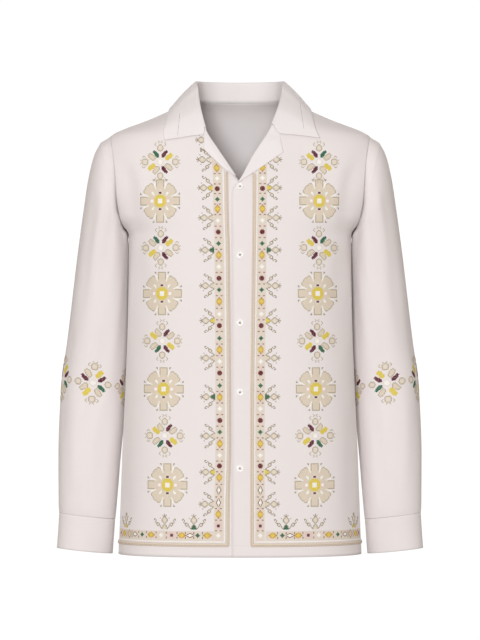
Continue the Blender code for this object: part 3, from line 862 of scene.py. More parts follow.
def collarStation(side, place, sections):
    keys = list(range(len(sections)))

    def seamAt(spot):
        return Vector([float(smoothCurve(keys, [s[0][axis] for s in sections], spot)) for axis in range(3)])

    seam = seamAt(place)
    direction = seamAt(min(place + 0.05, keys[-1])) - seamAt(max(place - 0.05, 0.0))
    stand = float(smoothCurve(keys, [s[1] for s in sections], place))
    lean = math.radians(float(smoothCurve(keys, [s[2] for s in sections], place)))
    edge = Vector([float(smoothCurve(keys, [s[3][axis] for s in sections], place)) for axis in range(3)])
    rise = Vector((0.0, -math.sin(lean), math.cos(lean)))
    outward = rise.cross(direction).normalized()
    tuckDown, tuckIn = collar["tuck"]
    middle = stand / 2.0
    if stand <= collar["fullStand"]:
        middle = collar["lowBend"] + (stand - collar["lowFold"]) / 2.0
    line = [seam - rise * tuckDown - outward * tuckIn, seam + rise * middle]
    line += [seam + rise * (stand + up) + outward * out for up, out in collar["fold"]]
    start = line[-1]
    steps = collar["fallSteps"]
    notchX, notchZ = collar["ends"][side]["notch"]
    notch = frontVector(notchX, notchZ, collar["lift"])
    pull = float(smoothStep(place, keys[-1] - 1.0, keys[-1]))
    for share in steps:
        point = start.lerp(edge, share)
        swell = math.sin(math.pi * min(share * 1.1, 1.0)) * collar["swell"]
        point += Vector((point.x, point.y, collar["swellUp"])).normalized() * swell
        bend = notch if share == steps[0] else notch.lerp(edge, (share - steps[0]) / (1.0 - steps[0]))
        line.append(clearOfShirt(point.lerp(bend, pull), collar["lift"]))
    return line


def roundedLine(line, counts):
    # a smooth line through the section's points, with a set number of steps between each two
    line = np.array([list(point) for point in line])
    padded = np.concatenate((line[:1] * 2 - line[1:2], line, line[-1:] * 2 - line[-2:-1]))
    made = []
    for spot, count in enumerate(counts):
        a, b, c, d = padded[spot:spot + 4]
        for t in np.linspace(0.0, 1.0, count, endpoint=False):
            made.append(0.5 * (2 * b + (c - a) * t + (2 * a - 5 * b + 4 * c - d) * t ** 2
                               + (3 * b - a - 3 * c + d) * t ** 3))
    made.append(line[-1])
    return np.array(made)


halves = {}
for side in ("left", "right"):
    sections = collarSections(side)
    spots = np.linspace(0.0, len(sections) - 1.0, collar["stations"])
    halves[side] = [roundedLine(collarStation(side, float(spot), sections), collar["steps"]) for spot in spots]
mirrored = [line * mirrorX for line in halves["right"]]
points = np.array(mirrored[::-1][:-1] + halves["left"]).transpose(1, 0, 2)
normals = gridNormals(points)
collarPiece = clothShell("collar_cloth_band", points + normals * 0.75, normals, collar["cloth"], collarCloth)
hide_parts("collar")
print("collar and lapels made")


def arcLengths(line):
    # distance along a line of points up to each of them
    return np.concatenate(([0.0], np.cumsum(np.linalg.norm(np.diff(line, axis=0), axis=1))))


def sweepTube(name, centres, normals, halfWidth, height, sides, material, twist, ropes, pitch):
    # a low rounded cord laid along a line on the cloth
    centres = np.asarray(centres)
    ahead = unit(np.gradient(centres, axis=0))
    across = unit(np.cross(ahead, normals))
    length = arcLengths(centres)
    turns = np.linspace(0.0, 2.0 * np.pi, sides, endpoint=False)
    wave = 1.0 + twist * np.sin(ropes * turns[None, :] + 2.0 * np.pi * length[:, None] / pitch)
    offsetA = np.cos(turns)[None, :] * halfWidth * wave
    offsetN = (np.sin(turns)[None, :] * wave * 0.5 + 0.5) * height
    points = centres[:, None] + across[:, None] * offsetA[..., None] + normals[:, None] * offsetN[..., None]
    faces = gridFaces(len(centres), sides, wrap=True)
    return makeObject(name, points.reshape(-1, 3), faces, [material])


def resample(points, normals, step):
    points = np.asarray(points)
    length = arcLengths(points)
    at = np.linspace(0.0, length[-1], max(2, int(length[-1] / step)))
    line = np.stack([np.interp(at, length, points[:, axis]) for axis in range(3)], axis=1)
    up = np.stack([np.interp(at, length, normals[:, axis]) for axis in range(3)], axis=1)
    return line, unit(up)


# the row level with the neck, millimetres a pixel, the lens's height and how much nearer the front is
photo = {"neckRow": 100.0, "pixel": 1.6, "lensZ": -352.0, "nearness": 0.9818}


def heightAt(pixelRow):
    # height on the front for a row of the photo's frame, seen by the long lens
    z = (photo["neckRow"] - pixelRow) * photo["pixel"]
    return photo["lensZ"] + (z - photo["lensZ"]) * photo["nearness"]


# How far the cord and the band lean away from the centre line, by row of the photo's frame
lean = {
    "left": ((130.0, 3.8), (200.0, 3.6), (262.0, 2.6), (442.0, 0.0), (560.0, 0.0)),
    "right": ((130.0, 8.5), (150.0, 7.5), (160.0, 6.2), (172.0, 4.6), (200.0, 4.0), (262.0, 1.6),
              (442.0, 0.0), (475.0, 0.9), (510.0, 2.2), (560.0, 2.4)),
}


def leanAt(side, z):
    rows = np.array(lean[side][::-1])
    return smoothCurve(heightAt(rows[:, 0]), rows[:, 1], z)


cord = {
    "x": {"left": 18.7, "right": 17.1},
    "topZ": {"left": -121.5, "right": -118.5},
    "hemZ": -705.4,
    "endAngle": 87.0,
    "halfWidth": 2.8,
    "height": 1.9,
    "whiteX": {"left": 23.2, "right": 21.6},
    "whiteHemZ": -700.8,
    "whiteHalfWidth": 0.8,
    "whiteHeight": 1.1,
    "whiteTopGap": 5.0,
    "lift": 0.1,
    "step": 0.9,
    "sides": 12,
    "whiteSides": 8,
    # depth, strands and length of a turn
    "twist": (0.10, 3, 5.0),
    "whiteTwist": (0.14, 2, 2.6),
    # the dark stitches along the cord
    "dotInset": 0.5,
    "dotLift": 0.05,
    "dotStep": 0.5,
}


def edgeLine(side, x, topZ, hemZ, endAngle, lift):
    # a line beside the front edge that turns the corner and runs along the hem to the side seam
    sign = signs[side]
    upright = np.linspace(topZ, hemZ, 200)
    angles = frontAngle(x + leanAt(side, upright), upright)
    corner = float(frontAngle(x, hemZ))
    hem = np.linspace(corner, endAngle, 90)[1:]
    angles = np.concatenate((angles, hem)) * sign
    z = np.concatenate((upright, np.full(len(hem), hemZ)))
    return torsoPoint(angles, z, np.full(len(z), lift), side)


cordDots = []
for side in ("left", "right"):
    line = edgeLine(side, cord["x"][side], cord["topZ"][side], cord["hemZ"], cord["endAngle"], cord["lift"])
    piece = sweepTube("braid_" + side + "_cord", *resample(*line, cord["step"]), cord["halfWidth"],
                      cord["height"], cord["sides"], threads[threadNames.index("cord")], *cord["twist"])
    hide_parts("braid_" + side)
    inset = cord["dotInset"]
    line = edgeLine(side, cord["x"][side] - inset, cord["topZ"][side], cord["hemZ"] - inset, cord["endAngle"],
                    cord["height"] + cord["dotLift"])
    cordDots.append(resample(*line, cord["dotStep"]))
    topZ = cord["topZ"][side] + cord["whiteTopGap"]
    line = edgeLine(side, cord["whiteX"][side], topZ, cord["whiteHemZ"], cord["endAngle"], cord["lift"])
    piece = sweepTube("white_line_" + side, *resample(*line, cord["step"]), cord["whiteHalfWidth"],
                      cord["whiteHeight"], cord["whiteSides"], threads[threadNames.index("white")],
                      *cord["whiteTwist"])
print("cords laid")


class Chart:
    # a counted-thread chart: colour numbers on squares, 0 for bare cloth; row 0 is the lowest
    def __init__(self, columns, rows):
        self.cells = np.zeros((rows, columns), int)

    def stamp(self, other, column, row):
        rows, columns = self.cells.shape
        for (j, i), number in np.ndenumerate(other.cells):
            if number and 0 <= row + j < rows and 0 <= column + i < columns:
                self.cells[row + j, column + i] = number


colourNumber = {name: number + 1 for number, name in enumerate(threadNames)}


def centredChart(half, paint, halfHigh=None):
    # paints a chart from a rule that is given each square's place from the middle
    halfHigh = half if halfHigh is None else halfHigh
    chart = Chart(2 * half + 1, 2 * halfHigh + 1)
    for j in range(-halfHigh, halfHigh + 1):
        for i in range(-half, half + 1):
            name = paint(i, j)
            if name:
                chart.cells[j + halfHigh, i + half] = colourNumber[name]
    return chart


def outlined(chart, fill, line):
    # the squares of a filled shape that touch bare cloth take the outline's colour
    cells = chart.cells
    bare = np.pad(cells == 0, 1, constant_values=True)
    touches = bare[:-2, 1:-1] | bare[2:, 1:-1] | bare[1:-1, :-2] | bare[1:-1, 2:]
    cells[(cells == colourNumber[fill]) & touches] = colourNumber[line]
    return chart


def medallionRule(i, j):
    # four square arms and four rounded petals round a small ring, with a white bar in each notch
    a, b = abs(i), abs(j)
    far, near = max(a, b), min(a, b)
    if far <= 2:
        return "white"
    if far <= 6 and a + b <= 9:
        return "lemon"
    if b in (8, 9) and a <= 1:
        return "burgundy"
    if b == 10 and a <= 1 or b in (8, 9) and a in (2, 3) or b in (11, 12) and a == 0:
        return "pale"
    if abs(a - 9) <= 2 and b <= 2:
        return "white" if abs(a - 9) <= 1 and b <= 1 else "pink"
    if abs(a - b) <= 1 and 7 <= a <= 10 and 6 <= b <= 10 and a + b <= 18:
        return "white"
    if near <= 4 and far <= 22:
        return "outline" if near == 4 and far >= 15 else "beige"
    notch = max(far - 13.0, 0.0) * 0.5 + max(far - 17.0, 0.0) * 0.8
    if far >= 13 and near <= 5.0 + notch:
        if far <= 18 and abs(near - 5.2 - notch * 0.5) <= 0.9:
            return "white"
        if far in (21, 22) and near in (7, 8) and far - near != 13:
            return "olive"
        return None
    return "beige" if far <= 19 and math.hypot(a, b) <= 21.4 else None


def bar(i, j, startX, startY, endX, endY, half):
    # whether a square lies in a short rounded bar
    length = math.hypot(endX - startX, endY - startY)
    t = ((i - startX) * (endX - startX) + (j - startY) * (endY - startY)) / length
    across = abs((i - startX) * (endY - startY) - (j - startY) * (endX - startX)) / length
    return -0.5 <= t <= length + 0.5 and across <= half - (0.7 if t < 0.8 or t > length - 0.8 else 0.0)


def flowerChart(petalColours):
    # eight slanted petals round a small square, and a bud on each axis; colours go clockwise from the
    # top petal that leans left
    petals = (
        (-2.2, 5.4, -7.4, 11.6), (2.2, 5.4, 7.4, 11.6), (6.4, 2.8, 13.0, 7.8), (6.4, -2.8, 13.0, -7.8),
        (2.2, -5.4, 7.4, -11.6), (-2.2, -5.4, -7.4, -11.6), (-6.4, -2.8, -13.0, -7.8),
        (-6.4, 2.8, -13.0, 7.8),
    )
    halfWidths = {"beige": 2.7, "lemon": 2.5}

    def rule(i, j):
        a, b = abs(i), abs(j)
        if a <= 2 and b <= 2 and a + b <= 3:
            return "white"
        if max(a, b) == 3 and min(a, b) <= 1 or a == 2 and b == 2:
            return "pale"
        for colour, petal in zip(petalColours, petals):
            if bar(i, j, *petal, halfWidths.get(colour, 1.9)):
                return colour
        along, across = (b, a) if b > a else (a, b)
        bud = math.hypot(along - (14.6 if b > a else 17.0), across)
        if bud <= 3.7:
            return "beige" if bud > 2.0 else "pale"
        if (across, along) in ((5, 17), (6, 18), (6, 19), (5, 20), (2, 20), (1, 21), (2, 22)):
            return "outline"
        return None

    return outlined(centredChart(24, rule), "beige", "outline")


def mirroredChart(chart):
    made = Chart(*chart.cells.shape[::-1])
    made.cells = chart.cells[:, ::-1].copy()
    return made


def drawnChart(rows, keys):
    # a chart written as half rows from the top, mirrored about the last column
    full = [row + row[-2::-1] for row in rows]
    chart = Chart(len(full[0]), len(full))
    for j, row in enumerate(reversed(full)):
        for i, mark in enumerate(row):
            if mark in keys:
                chart.cells[j, i] = colourNumber[keys[mark]]
    return chart


def sprigChart(base):
    # a lily: a bud on a small coloured foot, with a curled branch on each side and a finial
    rows = (
        "............o",
        "..........o.o",
        "...........oo",
        "...........ob",
        ".......o..obb",
        "oo.......obbp",
        "o.o......obpp",
        "..o......obbp",
        ".o........obb",
        "..oooo.....ob",
        "...oppo.....o",
        "...oppo....of",
        "....oopo..off",
        ".......o..off",
        "........oofff",
        ".........offf",
    )
    return drawnChart(rows, {"o": "olive", "b": "beige", "p": "pale", "f": base})


def borderUnit(kind):
    def rule(i, j):
        a, b = abs(i), abs(j)
        if kind == "square":
            if a <= 1 and b <= 1:
                return "burgundy"
            if a <= 3 and b <= 3:
                return "pink"
        if kind == "red":
            if a <= 2 and b <= 2 and a + b <= 3:
                return "darkRed"
            if a + b == 4:
                return "pink"
        if kind == "green" and a + b <= 2:
            return "green"
        if kind == "yellow":
            if a + b <= 2:
                return "lemon"
            if a <= 3 and b <= 3 and a + b <= 3 or (a, b) in ((2, 2), (1, 3)):
                return "amber"
            if a == 0 and b == 4:
                return "brown"
        if kind == "lattice":
            if a + b <= 1:
                return "lemon"
            if a + b in (3, 4):
                return "brown" if a + b == 4 else "pink"
        if kind == "white" and a + b <= 2:
            return "white"
        if kind == "open":
            if (a, b) in ((0, 4), (1, 3), (1, 2), (2, 1), (2, 0)):
                return "brown"
            if a + b <= 3 and a <= 1:
                return "white"
        if b == 5 and a in (1, 2) and kind != "green":
            return "pink"
        return None
    return centredChart(5, rule, 6)


# shares of a square, and heights in millimetres
stitch = {"width": 0.36, "margin": 0.02, "spread": 0.12,
          "base": 0.12, "rise": 0.16, "under": 0.36, "over": 0.60}


def stitchMesh(name, batches):
    # every filled square becomes a small cross of two plump threads, the second over the first, on a
    # flat ground of the same thread
    corners, normals, colours = [], [], []
    for chart, points, ups in batches:
        rows, columns = np.nonzero(chart.cells)
        corners.append(np.stack((points[rows, columns], points[rows, columns + 1],
                                 points[rows + 1, columns + 1], points[rows + 1, columns]), axis=1))
        normals.append(ups[rows, columns])
        colours.append(chart.cells[rows, columns] - 1)
    corners, normals, colours = np.concatenate(corners), np.concatenate(normals), np.concatenate(colours)
    count = len(colours)
    wobble = 1.0 + stitch["spread"] * random.uniform(-1.0, 1.0, (count, 1))

    def spot(u, v, lift):
        u, v = np.asarray(u)[..., None], np.asarray(v)[..., None]
        low = corners[:, 0] * (1 - u) + corners[:, 1] * u
        high = corners[:, 3] * (1 - u) + corners[:, 2] * u
        return low * (1 - v) + high * v + normals * lift

    one = np.ones(count)
    base, under, over = stitch["base"], stitch["under"] * wobble, stitch["over"] * wobble
    above, low, high = base + stitch["rise"], stitch["margin"], 1.0 - stitch["margin"]
    near, far = 0.5 - stitch["width"] * wobble[:, 0], 0.5 + stitch["width"] * wobble[:, 0]
    places = (
        (low, low, base), (far, near, base), (high, high, base), (near, far, base), (0.5, 0.5, under),
        (high, low, base), (far, far, above), (low, high, base), (near, near, above), (0.5, 0.5, over),
        (low, low, base), (high, low, base), (high, high, base), (low, high, base),
    )
    vertices = np.stack([spot(one * u, one * v, lift) for u, v, lift in places], axis=1)
    pattern = np.array(((0, 1, 4), (1, 2, 4), (2, 3, 4), (3, 0, 4), (5, 6, 9), (6, 7, 9), (7, 8, 9), (8, 5, 9),
                        (10, 11, 12), (10, 12, 13)))
    faces = (np.arange(count)[:, None, None] * len(places) + pattern[None]).reshape(-1, 3)
    used = sorted(set(colours.tolist()))
    renumber = {old: new for new, old in enumerate(used)}
    faceColours = np.repeat([renumber[c] for c in colours.tolist()], len(pattern))
    made = makeObject(name, vertices.reshape(-1, 3), faces, [threads[c] for c in used], faceColours)
    print(name, count, "stitches")


def flatLattice(side, chart, centreX, lowZ, cellX, cellZ):
    # places a chart's lattice on a front by its even steps as seen from the front
    sign = signs[side]
    rows, columns = chart.cells.shape
    x = centreX + (np.arange(columns + 1) - columns / 2.0) * cellX
    xGrid, zGrid = np.meshgrid(x, lowZ + np.arange(rows + 1) * cellZ)
    return torsoPoint(frontAngle(xGrid, zGrid) * sign, zGrid, np.zeros(zGrid.shape), side)


def frontLattice(side, chart, centreArc, lowZ, cellX, cellZ, leans=False):
    # places a chart's lattice on a front, counted along the cloth from the centre line
    sign = signs[side]
    rows, columns = chart.cells.shape
    arcs = centreArc + (np.arange(columns + 1) - columns / 2.0) * cellX
    angleGrid = np.zeros((rows + 1, columns + 1))
    z = lowZ + np.arange(rows + 1) * cellZ
    sample = np.linspace(-30.0, 90.0, 241)
    for row in range(rows + 1):
        line = torsoShape(sample, np.full(len(sample), z[row]))
        length = arcLengths(line)
        length -= np.interp(0.0, sample, length)
        angleGrid[row] = np.interp(arcs + (float(leanAt(side, z[row])) if leans else 0.0), length, sample)
    zGrid = np.broadcast_to(z[:, None], angleGrid.shape)
    return torsoPoint(angleGrid * sign, zGrid, np.zeros(zGrid.shape), side)


def arcAt(x, z):
    # distance along the cloth from the centre line to x
    sample = np.linspace(0.0, 90.0, 361)
    line = torsoShape(sample, np.full(len(sample), float(z)))
    length = arcLengths(line)
    return float(np.interp(x, line[:, 0], length))


medallion = outlined(centredChart(24, medallionRule), "beige", "outline")
upperFlower = flowerChart(("green", "burgundy", "lemon", "beige", "burgundy", "beige", "lemon", "beige"))
lowerFlower = flowerChart(("beige", "burgundy", "beige", "lemon", "burgundy", "green", "beige", "lemon"))

columns = {
    "cellX": 1.40,
    "cellZ": 1.519,
    # row in the photo's frame, then distance from the centre line for the right and left front
    "flowers": ((161.0, 126.0, 125.0), (247.5, 125.0, 124.5), (341.0, 122.5, 121.5), (436.0, 118.5, 118.5)),
    "medallions": ((200.5, 126.0, 125.0), (293.4, 123.0, 122.5), (389.2, 120.3, 119.5),
                   (485.3, 114.2, 117.5)),
}
# A chart is drawn as the photo shows it on the wearer's right front, with the outside on its left. A
# lattice's columns count from the centre line outward on both fronts, so the flowers are turned over.
for side in ("left", "right"):
    for kind in ("flowers", "medallions"):
        batches = []
        for number, (pixelRow, rightX, leftX) in enumerate(columns[kind]):
            chart = medallion
            if kind == "flowers":
                chart = mirroredChart(upperFlower if number < 2 else lowerFlower)
            low = heightAt(pixelRow) - chart.cells.shape[0] * columns["cellZ"] / 2.0
            lattice = flatLattice(side, chart, leftX if side == "left" else rightX, low,
                                  columns["cellX"], columns["cellZ"])
            batches.append((chart, *lattice))
        stitchMesh(kind + "_" + side, batches)
print("columns embroidered")

border = {
    "width": 11,
    "x": 31.8,
    "topZ": {"left": -84.0, "right": -66.0},
    "bottomZ": -698.8,
    "hemCentreZ": -690.4,
    "cell": 1.519,
    "levelZ": -400.0,
    "foldGap": 4.0,
    # how far a sprig's foot reaches into the band, and its place over the hem's band
    "sprigTuck": 1.2,
    "hemSprigZ": -670.0,
    "hemSprigGap": 0.9,
    # kinds of unit down the front in turn; every fourth one's row in the photo's frame
    "fourthRows": (167.4, 209.0, 255.3, 301.9, 349.8, 397.0, 443.6, 490.0),
    "kinds": ("yellow", "white", "red", "green"),
    "repeats": 26,
    "lastRows": ((466.0, "red"), (477.6, "yellow"), (490.0, "open"), (503.0, "open"), (514.0, "yellow"),
                 (525.4, "square"), (535.0, "white")),
    # distance along the hem of each unit from the centre line
    "hemUnits": ((51.3, "yellow"), (66.8, "green"), (79.0, "open"), (92.5, "yellow"), (109.2, "square"),
                 (127.0, "white"), (145.6, "yellow"), (164.0, "green"), (180.0, "open"), (196.5, "lattice"),
                 (214.0, "yellow"), (231.0, "square")),
    "hemEnd": 246.0,
    "sprigRows": ((139.0, "pale"), (159.0, "pale"), (187.6, "lemon"), (217.7, "beige"), (250.0, "green"),
                  (285.8, "beige"), (320.7, "lemon"), (358.0, "beige"), (396.8, "green"), (436.0, "beige"),
                  (472.0, "lemon"), (504.0, "beige")),
    "hemSprigs": ((72.4, "green"), (118.6, "beige"), (181.0, "lemon")),
}


def stampUnits(strip, places, upright):
    # units in a row along a strip, with a pair of small marks between each two
    marks = centredChart(3, lambda i, j: "brown" if j == 0 and abs(i) in (2, 3) else None, 1)
    stamps = [(place, borderUnit(kind)) for place, kind in places]
    stamps += [((low + high) / 2.0, marks) for (low, _), (high, _) in zip(places, places[1:])]
    for place, unit in stamps:
        high, wide = unit.cells.shape
        row, column = int(round(place - high / 2.0)), (border["width"] - wide) // 2
        if upright:
            strip.stamp(unit, column, row)
        else:
            strip.stamp(turned(unit), row, column)


def borderStrips(side):
    cell = border["cell"]
    centre = arcAt(border["x"], border["levelZ"])
    high = int(round((border["topZ"][side] - border["bottomZ"]) / cell))
    strip = Chart(border["width"], high)
    strip.cells[:, :-1] = colourNumber["ground"]
    unitRows = np.interp(np.arange(border["repeats"]) / 4.0, range(8), border["fourthRows"])
    units = [(row, border["kinds"][number % 4]) for number, row in enumerate(unitRows)]
    units += border["lastRows"]
    places = [((heightAt(row) - border["bottomZ"]) / cell, kind) for row, kind in units]
    stampUnits(strip, places[::-1], True)
    # squares under the lapel and outside the fold are left out
    points, normals = frontLattice(side, strip, centre, border["bottomZ"], cell, cell, leans=True)
    inside = (points[:-1, :-1, 0] + points[1:, 1:, 0]) / 2.0
    middleZ = (points[:-1, :-1, 2] + points[1:, 1:, 2]) / 2.0
    strip.cells[np.abs(inside) < frontEdgeX(side, middleZ) + border["foldGap"]] = 0
    across = Chart(int(round((border["hemEnd"] - centre) / cell - border["width"] / 2.0)), border["width"])
    across.cells[:-1] = colourNumber["ground"]
    start = centre + border["width"] * cell / 2.0
    stampUnits(across, [((arc - start) / cell, kind) for arc, kind in border["hemUnits"]], False)
    middle = start + across.cells.shape[1] * cell / 2.0
    low = border["hemCentreZ"] - border["width"] * cell / 2.0
    hem = frontLattice(side, across, middle, low, cell, cell)
    return [(strip, points, normals), (across, *hem)]


def turned(chart):
    made = Chart(*chart.cells.shape)
    made.cells = chart.cells.T.copy()
    return made


def sprigBatches(side):
    cell = border["cell"]
    batches = []
    bandEdge = arcAt(border["x"], border["levelZ"]) + border["width"] * cell / 2.0
    for pixelRow, colour in border["sprigRows"][1 if side == "left" else 0:]:
        chart = turned(sprigChart(colour))  # its foot stands on the band's edge
        high, wide = chart.cells.shape
        low = heightAt(pixelRow) - high * cell / 2.0
        arc = bandEdge + wide * cell / 2.0 - border["sprigTuck"]
        batches.append((chart, *frontLattice(side, chart, arc, low, cell, cell, leans=True)))
    low = border["hemCentreZ"] + border["width"] * cell / 2.0 + border["hemSprigGap"]
    for x, colour in border["hemSprigs"]:
        chart = sprigChart(colour)
        arc = arcAt(x, border["hemSprigZ"])
        batches.append((chart, *frontLattice(side, chart, arc, low, cell, cell)))
    return batches


for side in ("left", "right"):
    stitchMesh("border_" + side, borderStrips(side))
    stitchMesh("sprigs_" + side, sprigBatches(side))
print("borders embroidered")

sleeveBand = {
    "cell": 1.53,
    "place": 7.0,
    "searchPlaces": (4.0, 10.0),
    "repeats": 5,
    "columns": 41,
    "level": 5.4,
    # columns from the middle that stay bare, and those that do so from a row on
    "bare": 19,
    "hooks": 17,
    "hookRow": 5,
}


def sleeveFlowerChart():
    # the buds at the sides meet those of the next flower, so they have no hooks there
    flower = turned(upperFlower)
    high, wide = flower.cells.shape
    across = np.abs(np.arange(wide) - wide // 2)[None, :]
    up = np.abs(np.arange(high) - high // 2)[:, None]
    hooks = (across >= sleeveBand["hooks"]) & (up >= sleeveBand["hookRow"])
    flower.cells[(across >= sleeveBand["bare"]) | hooks] = 0
    chart = Chart(sleeveBand["columns"], high)
    chart.stamp(flower, sleeveBand["columns"] // 2 - wide // 2, 0)
    return chart


def sleeveLattice(side, chart):
    rows, columns = chart.cells.shape
    rowsTable = sleeve["rows"]
    sample = np.linspace(0.0, 2.0 * np.pi, 721)
    ring = tubePoint(rowsTable, np.full(len(sample), sleeveBand["place"]), sample)
    length = arcLengths(ring)
    places = np.linspace(*sleeveBand["searchPlaces"], 121)
    centres = np.array([tubePoint(rowsTable, p, np.array([0.5, 1.5]) * np.pi).mean(axis=0) for p in places])
    down = arcLengths(centres)
    down -= np.interp(sleeveBand["place"], places, down)
    # the first repeat is centred on the front of the sleeve
    middle = np.interp(np.pi / 2.0, sample, length)
    steps = np.arange(columns + 1) - columns / (2.0 * sleeveBand["repeats"])
    arcs = np.mod(middle + steps * (length[-1] / columns), length[-1])
    turn = np.interp(arcs, length, sample)
    along = -(np.arange(rows + 1) - rows / 2.0) * sleeveBand["cell"]
    turnGrid, alongGrid = np.meshgrid(turn, along)
    placeGrid = np.interp(alongGrid + sleeveBand["level"] * np.cos(turnGrid), down, places)
    return sleevePoint(side, placeGrid, turnGrid, np.zeros(turnGrid.shape))


repeat = sleeveFlowerChart()
band = Chart(repeat.cells.shape[1] * sleeveBand["repeats"], repeat.cells.shape[0])
band.cells = np.tile(repeat.cells, sleeveBand["repeats"])
for side in ("left", "right"):
    stitchMesh("sleeve_band_" + side, [(band, *sleeveLattice(side, band))])
print("sleeve bands embroidered")


def stripFaces(start, rows):
    # quads of a strip that is three points wide
    firsts = [start + row * 3 + column for row in range(rows) for column in range(2)]
    return [(first, first + 1, first + 4, first + 3) for first in firsts]


button = {
    "heights": (-141.5, -249.5, -356.5, -465.5, -585.0),
    # radius and lift of each ring, from the middle of the face round to the back
    "profile": ((0.0, 0.55), (2.6, 0.6), (3.3, 1.15), (3.9, 1.75), (4.5, 2.0), (4.95, 1.75), (5.2, 1.2),
                (5.1, 0.5), (4.6, 0.1), (0.0, 0.0)),
    "sides": 40,
    "lift": 0.3,
    "holeRadius": 0.6,
    "holeReach": 1.45,
    "holeLift": 0.66,
    # place along a thread and its lift, then place across it and its rise
    "threadLine": ((-1.0, 0.5), (-0.6, 1.05), (0.0, 1.25), (0.6, 1.05), (1.0, 0.5)),
    "threadSection": ((-0.25, 0.0), (0.0, 0.2), (0.25, 0.0)),
    "threadGap": 0.25,
    "threadReach": 1.65,
}


def pearlButton(name, node, height):
    centre, normal = torsoPoint(np.array(0.0), np.array(height), np.array(button["lift"]), "left")
    turns = np.linspace(0.0, 2.0 * np.pi, button["sides"], endpoint=False)
    upward = np.cross(normal, np.array((1.0, 0.0, 0.0)))
    upward = upward / np.linalg.norm(upward)
    across = np.cross(upward, normal)
    circle = np.cos(turns)[:, None] * across + np.sin(turns)[:, None] * upward
    rings = [centre + max(radius, 0.01) * circle + normal * lift for radius, lift in button["profile"]]
    faces = gridFaces(len(rings), len(turns), wrap=True, flip=True)
    made = makeObject(name, np.concatenate(rings), faces, [pearl])
    # four thread holes, drawn as flat discs in the outline thread's colour; the discs' darkness is painted
    # shade of the holes
    holes = []
    for turn in (np.arange(4) * 0.5 + 0.25) * np.pi:
        outward = math.cos(turn) * across + math.sin(turn) * upward
        spot = centre + button["holeReach"] * outward + normal * button["holeLift"]
        holes.append(spot + button["holeRadius"] * circle[::4])
    points = len(holes[0])
    holeFaces = np.array([(k * points, k * points + a, k * points + a + 1)
                          for k in range(4) for a in range(1, points - 1)])
    hole = makeObject(name + "_hole_shade", np.concatenate(holes), holeFaces,
                      [threads[threadNames.index("outline")]])
    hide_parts(node)
    return centre, normal, across, upward


for number, height in enumerate(button["heights"], start=1):
    centre, normal, across, upward = pearlButton("pearl_button_" + str(number), "button_" + str(number), height)
    vertices, faces = [], []
    for turn in (math.pi / 4, 3 * math.pi / 4):
        direction = math.cos(turn) * across + math.sin(turn) * upward
        beside = -math.sin(turn) * across + math.cos(turn) * upward
        for share in (-button["threadGap"], button["threadGap"]):
            faces += stripFaces(len(vertices), len(button["threadLine"]) - 1)
            for t, lift in button["threadLine"]:
                for edge, rise in button["threadSection"]:
                    vertices.append(centre + direction * (t * button["threadReach"]) + beside * (share + edge)
                                    + normal * (lift + rise))
    made = makeObject("button_thread_" + str(number), vertices, faces, [darkSewing])
print("buttons sewn")


sewn = {
    # length, gap, half width and height of a stitch
    "cord": (0.9, 1.4, 0.45, 0.3),
    "ladder": (0.9, 1.2, 0.42, 0.35),
    "hem": (2.0, 0.8, 0.22, 0.3),
    # place along a stitch, then shares of its height and half width
    "profile": ((0.0, 0.0, 0.2), (0.25, 0.8, 1.0), (0.75, 0.8, 1.0), (1.0, 0.0, 0.2)),
    "edgeLift": 0.02,
    "middleLift": 0.04,
    "step": 0.35,
}


def stitchRow(name, lines, kind, material):
    # short rounded stitches along lines on the cloth, joined into one piece
    length, gap, halfWidth, height = sewn[kind]
    edgeLift, middleLift = sewn["edgeLift"], sewn["middleLift"]
    vertices, faces = [], []
    for points, normals in lines:
        points, normals = resample(points, normals, sewn["step"])
        step = np.linalg.norm(np.diff(points, axis=0), axis=1).mean()
        stride = max(2, int(round((length + gap) / step)))
        reach = max(1, int(round(length / step)))
        for first in range(0, len(points) - reach, stride):
            start, end = points[first], points[first + reach]
            up = normals[first + reach // 2]
            ahead = end - start
            beside = np.cross(ahead / max(np.linalg.norm(ahead), 1e-9), up)
            faces += stripFaces(len(vertices), len(sewn["profile"]) - 1)
            for t, rise, wide in sewn["profile"]:
                at = start + ahead * t
                vertices += [at - beside * halfWidth * wide + up * edgeLift,
                             at + up * height * rise + up * middleLift,
                             at + beside * halfWidth * wide + up * edgeLift]
    made = makeObject(name, vertices, faces, [material])


ladder = {
    "lines": (((-95.4, -24.8), (-98.6, -60.5)), ((95.4, -7.0), (101.0, -49.0))),
    "points": 60,
    "rayStartY": -400.0,
}


def surfaceLine(target, start, end):
    # a line laid over a finished piece, given by x, z points seen from the front
    mesh = target.data
    faces = [face.vertices for face in mesh.polygons]
    tree = BVHTree.FromPolygons([corner.co for corner in mesh.vertices], faces)
    points, normals = [], []
    for x, z in np.linspace(start, end, ladder["points"]):
        origin = Vector((x, ladder["rayStartY"], z)) * toMetres
        spot, normal = tree.ray_cast(origin, Vector((0.0, 1.0, 0.0)))[:2]
        if spot:
            points.append(np.array(spot) / toMetres)
            normals.append(np.array(normal if normal.y < 0.0 else -normal))
    return np.array(points), np.array(normals)


stitchRow("cord_stitches", cordDots, "cord", threads[threadNames.index("brown")])
lines = [surfaceLine(collarPiece, *ends) for ends in ladder["lines"]]
stitchRow("collar_ladder_stitches", lines, "ladder", darkSewing)

hemSewing = {
    "edgeZ": -706.0,
    "edgeGap": 1.5,
    "z": -706.2,
    "lift": 0.4,
    "frontEnd": 89.5,
    "back": (90.5, 269.5),
}


def hemLine(side, start, end, count):
    angles = np.linspace(start, end, count)
    if side == "right":
        angles = -angles
    return torsoPoint(angles, np.full(count, hemSewing["z"]), np.full(count, hemSewing["lift"]), side)


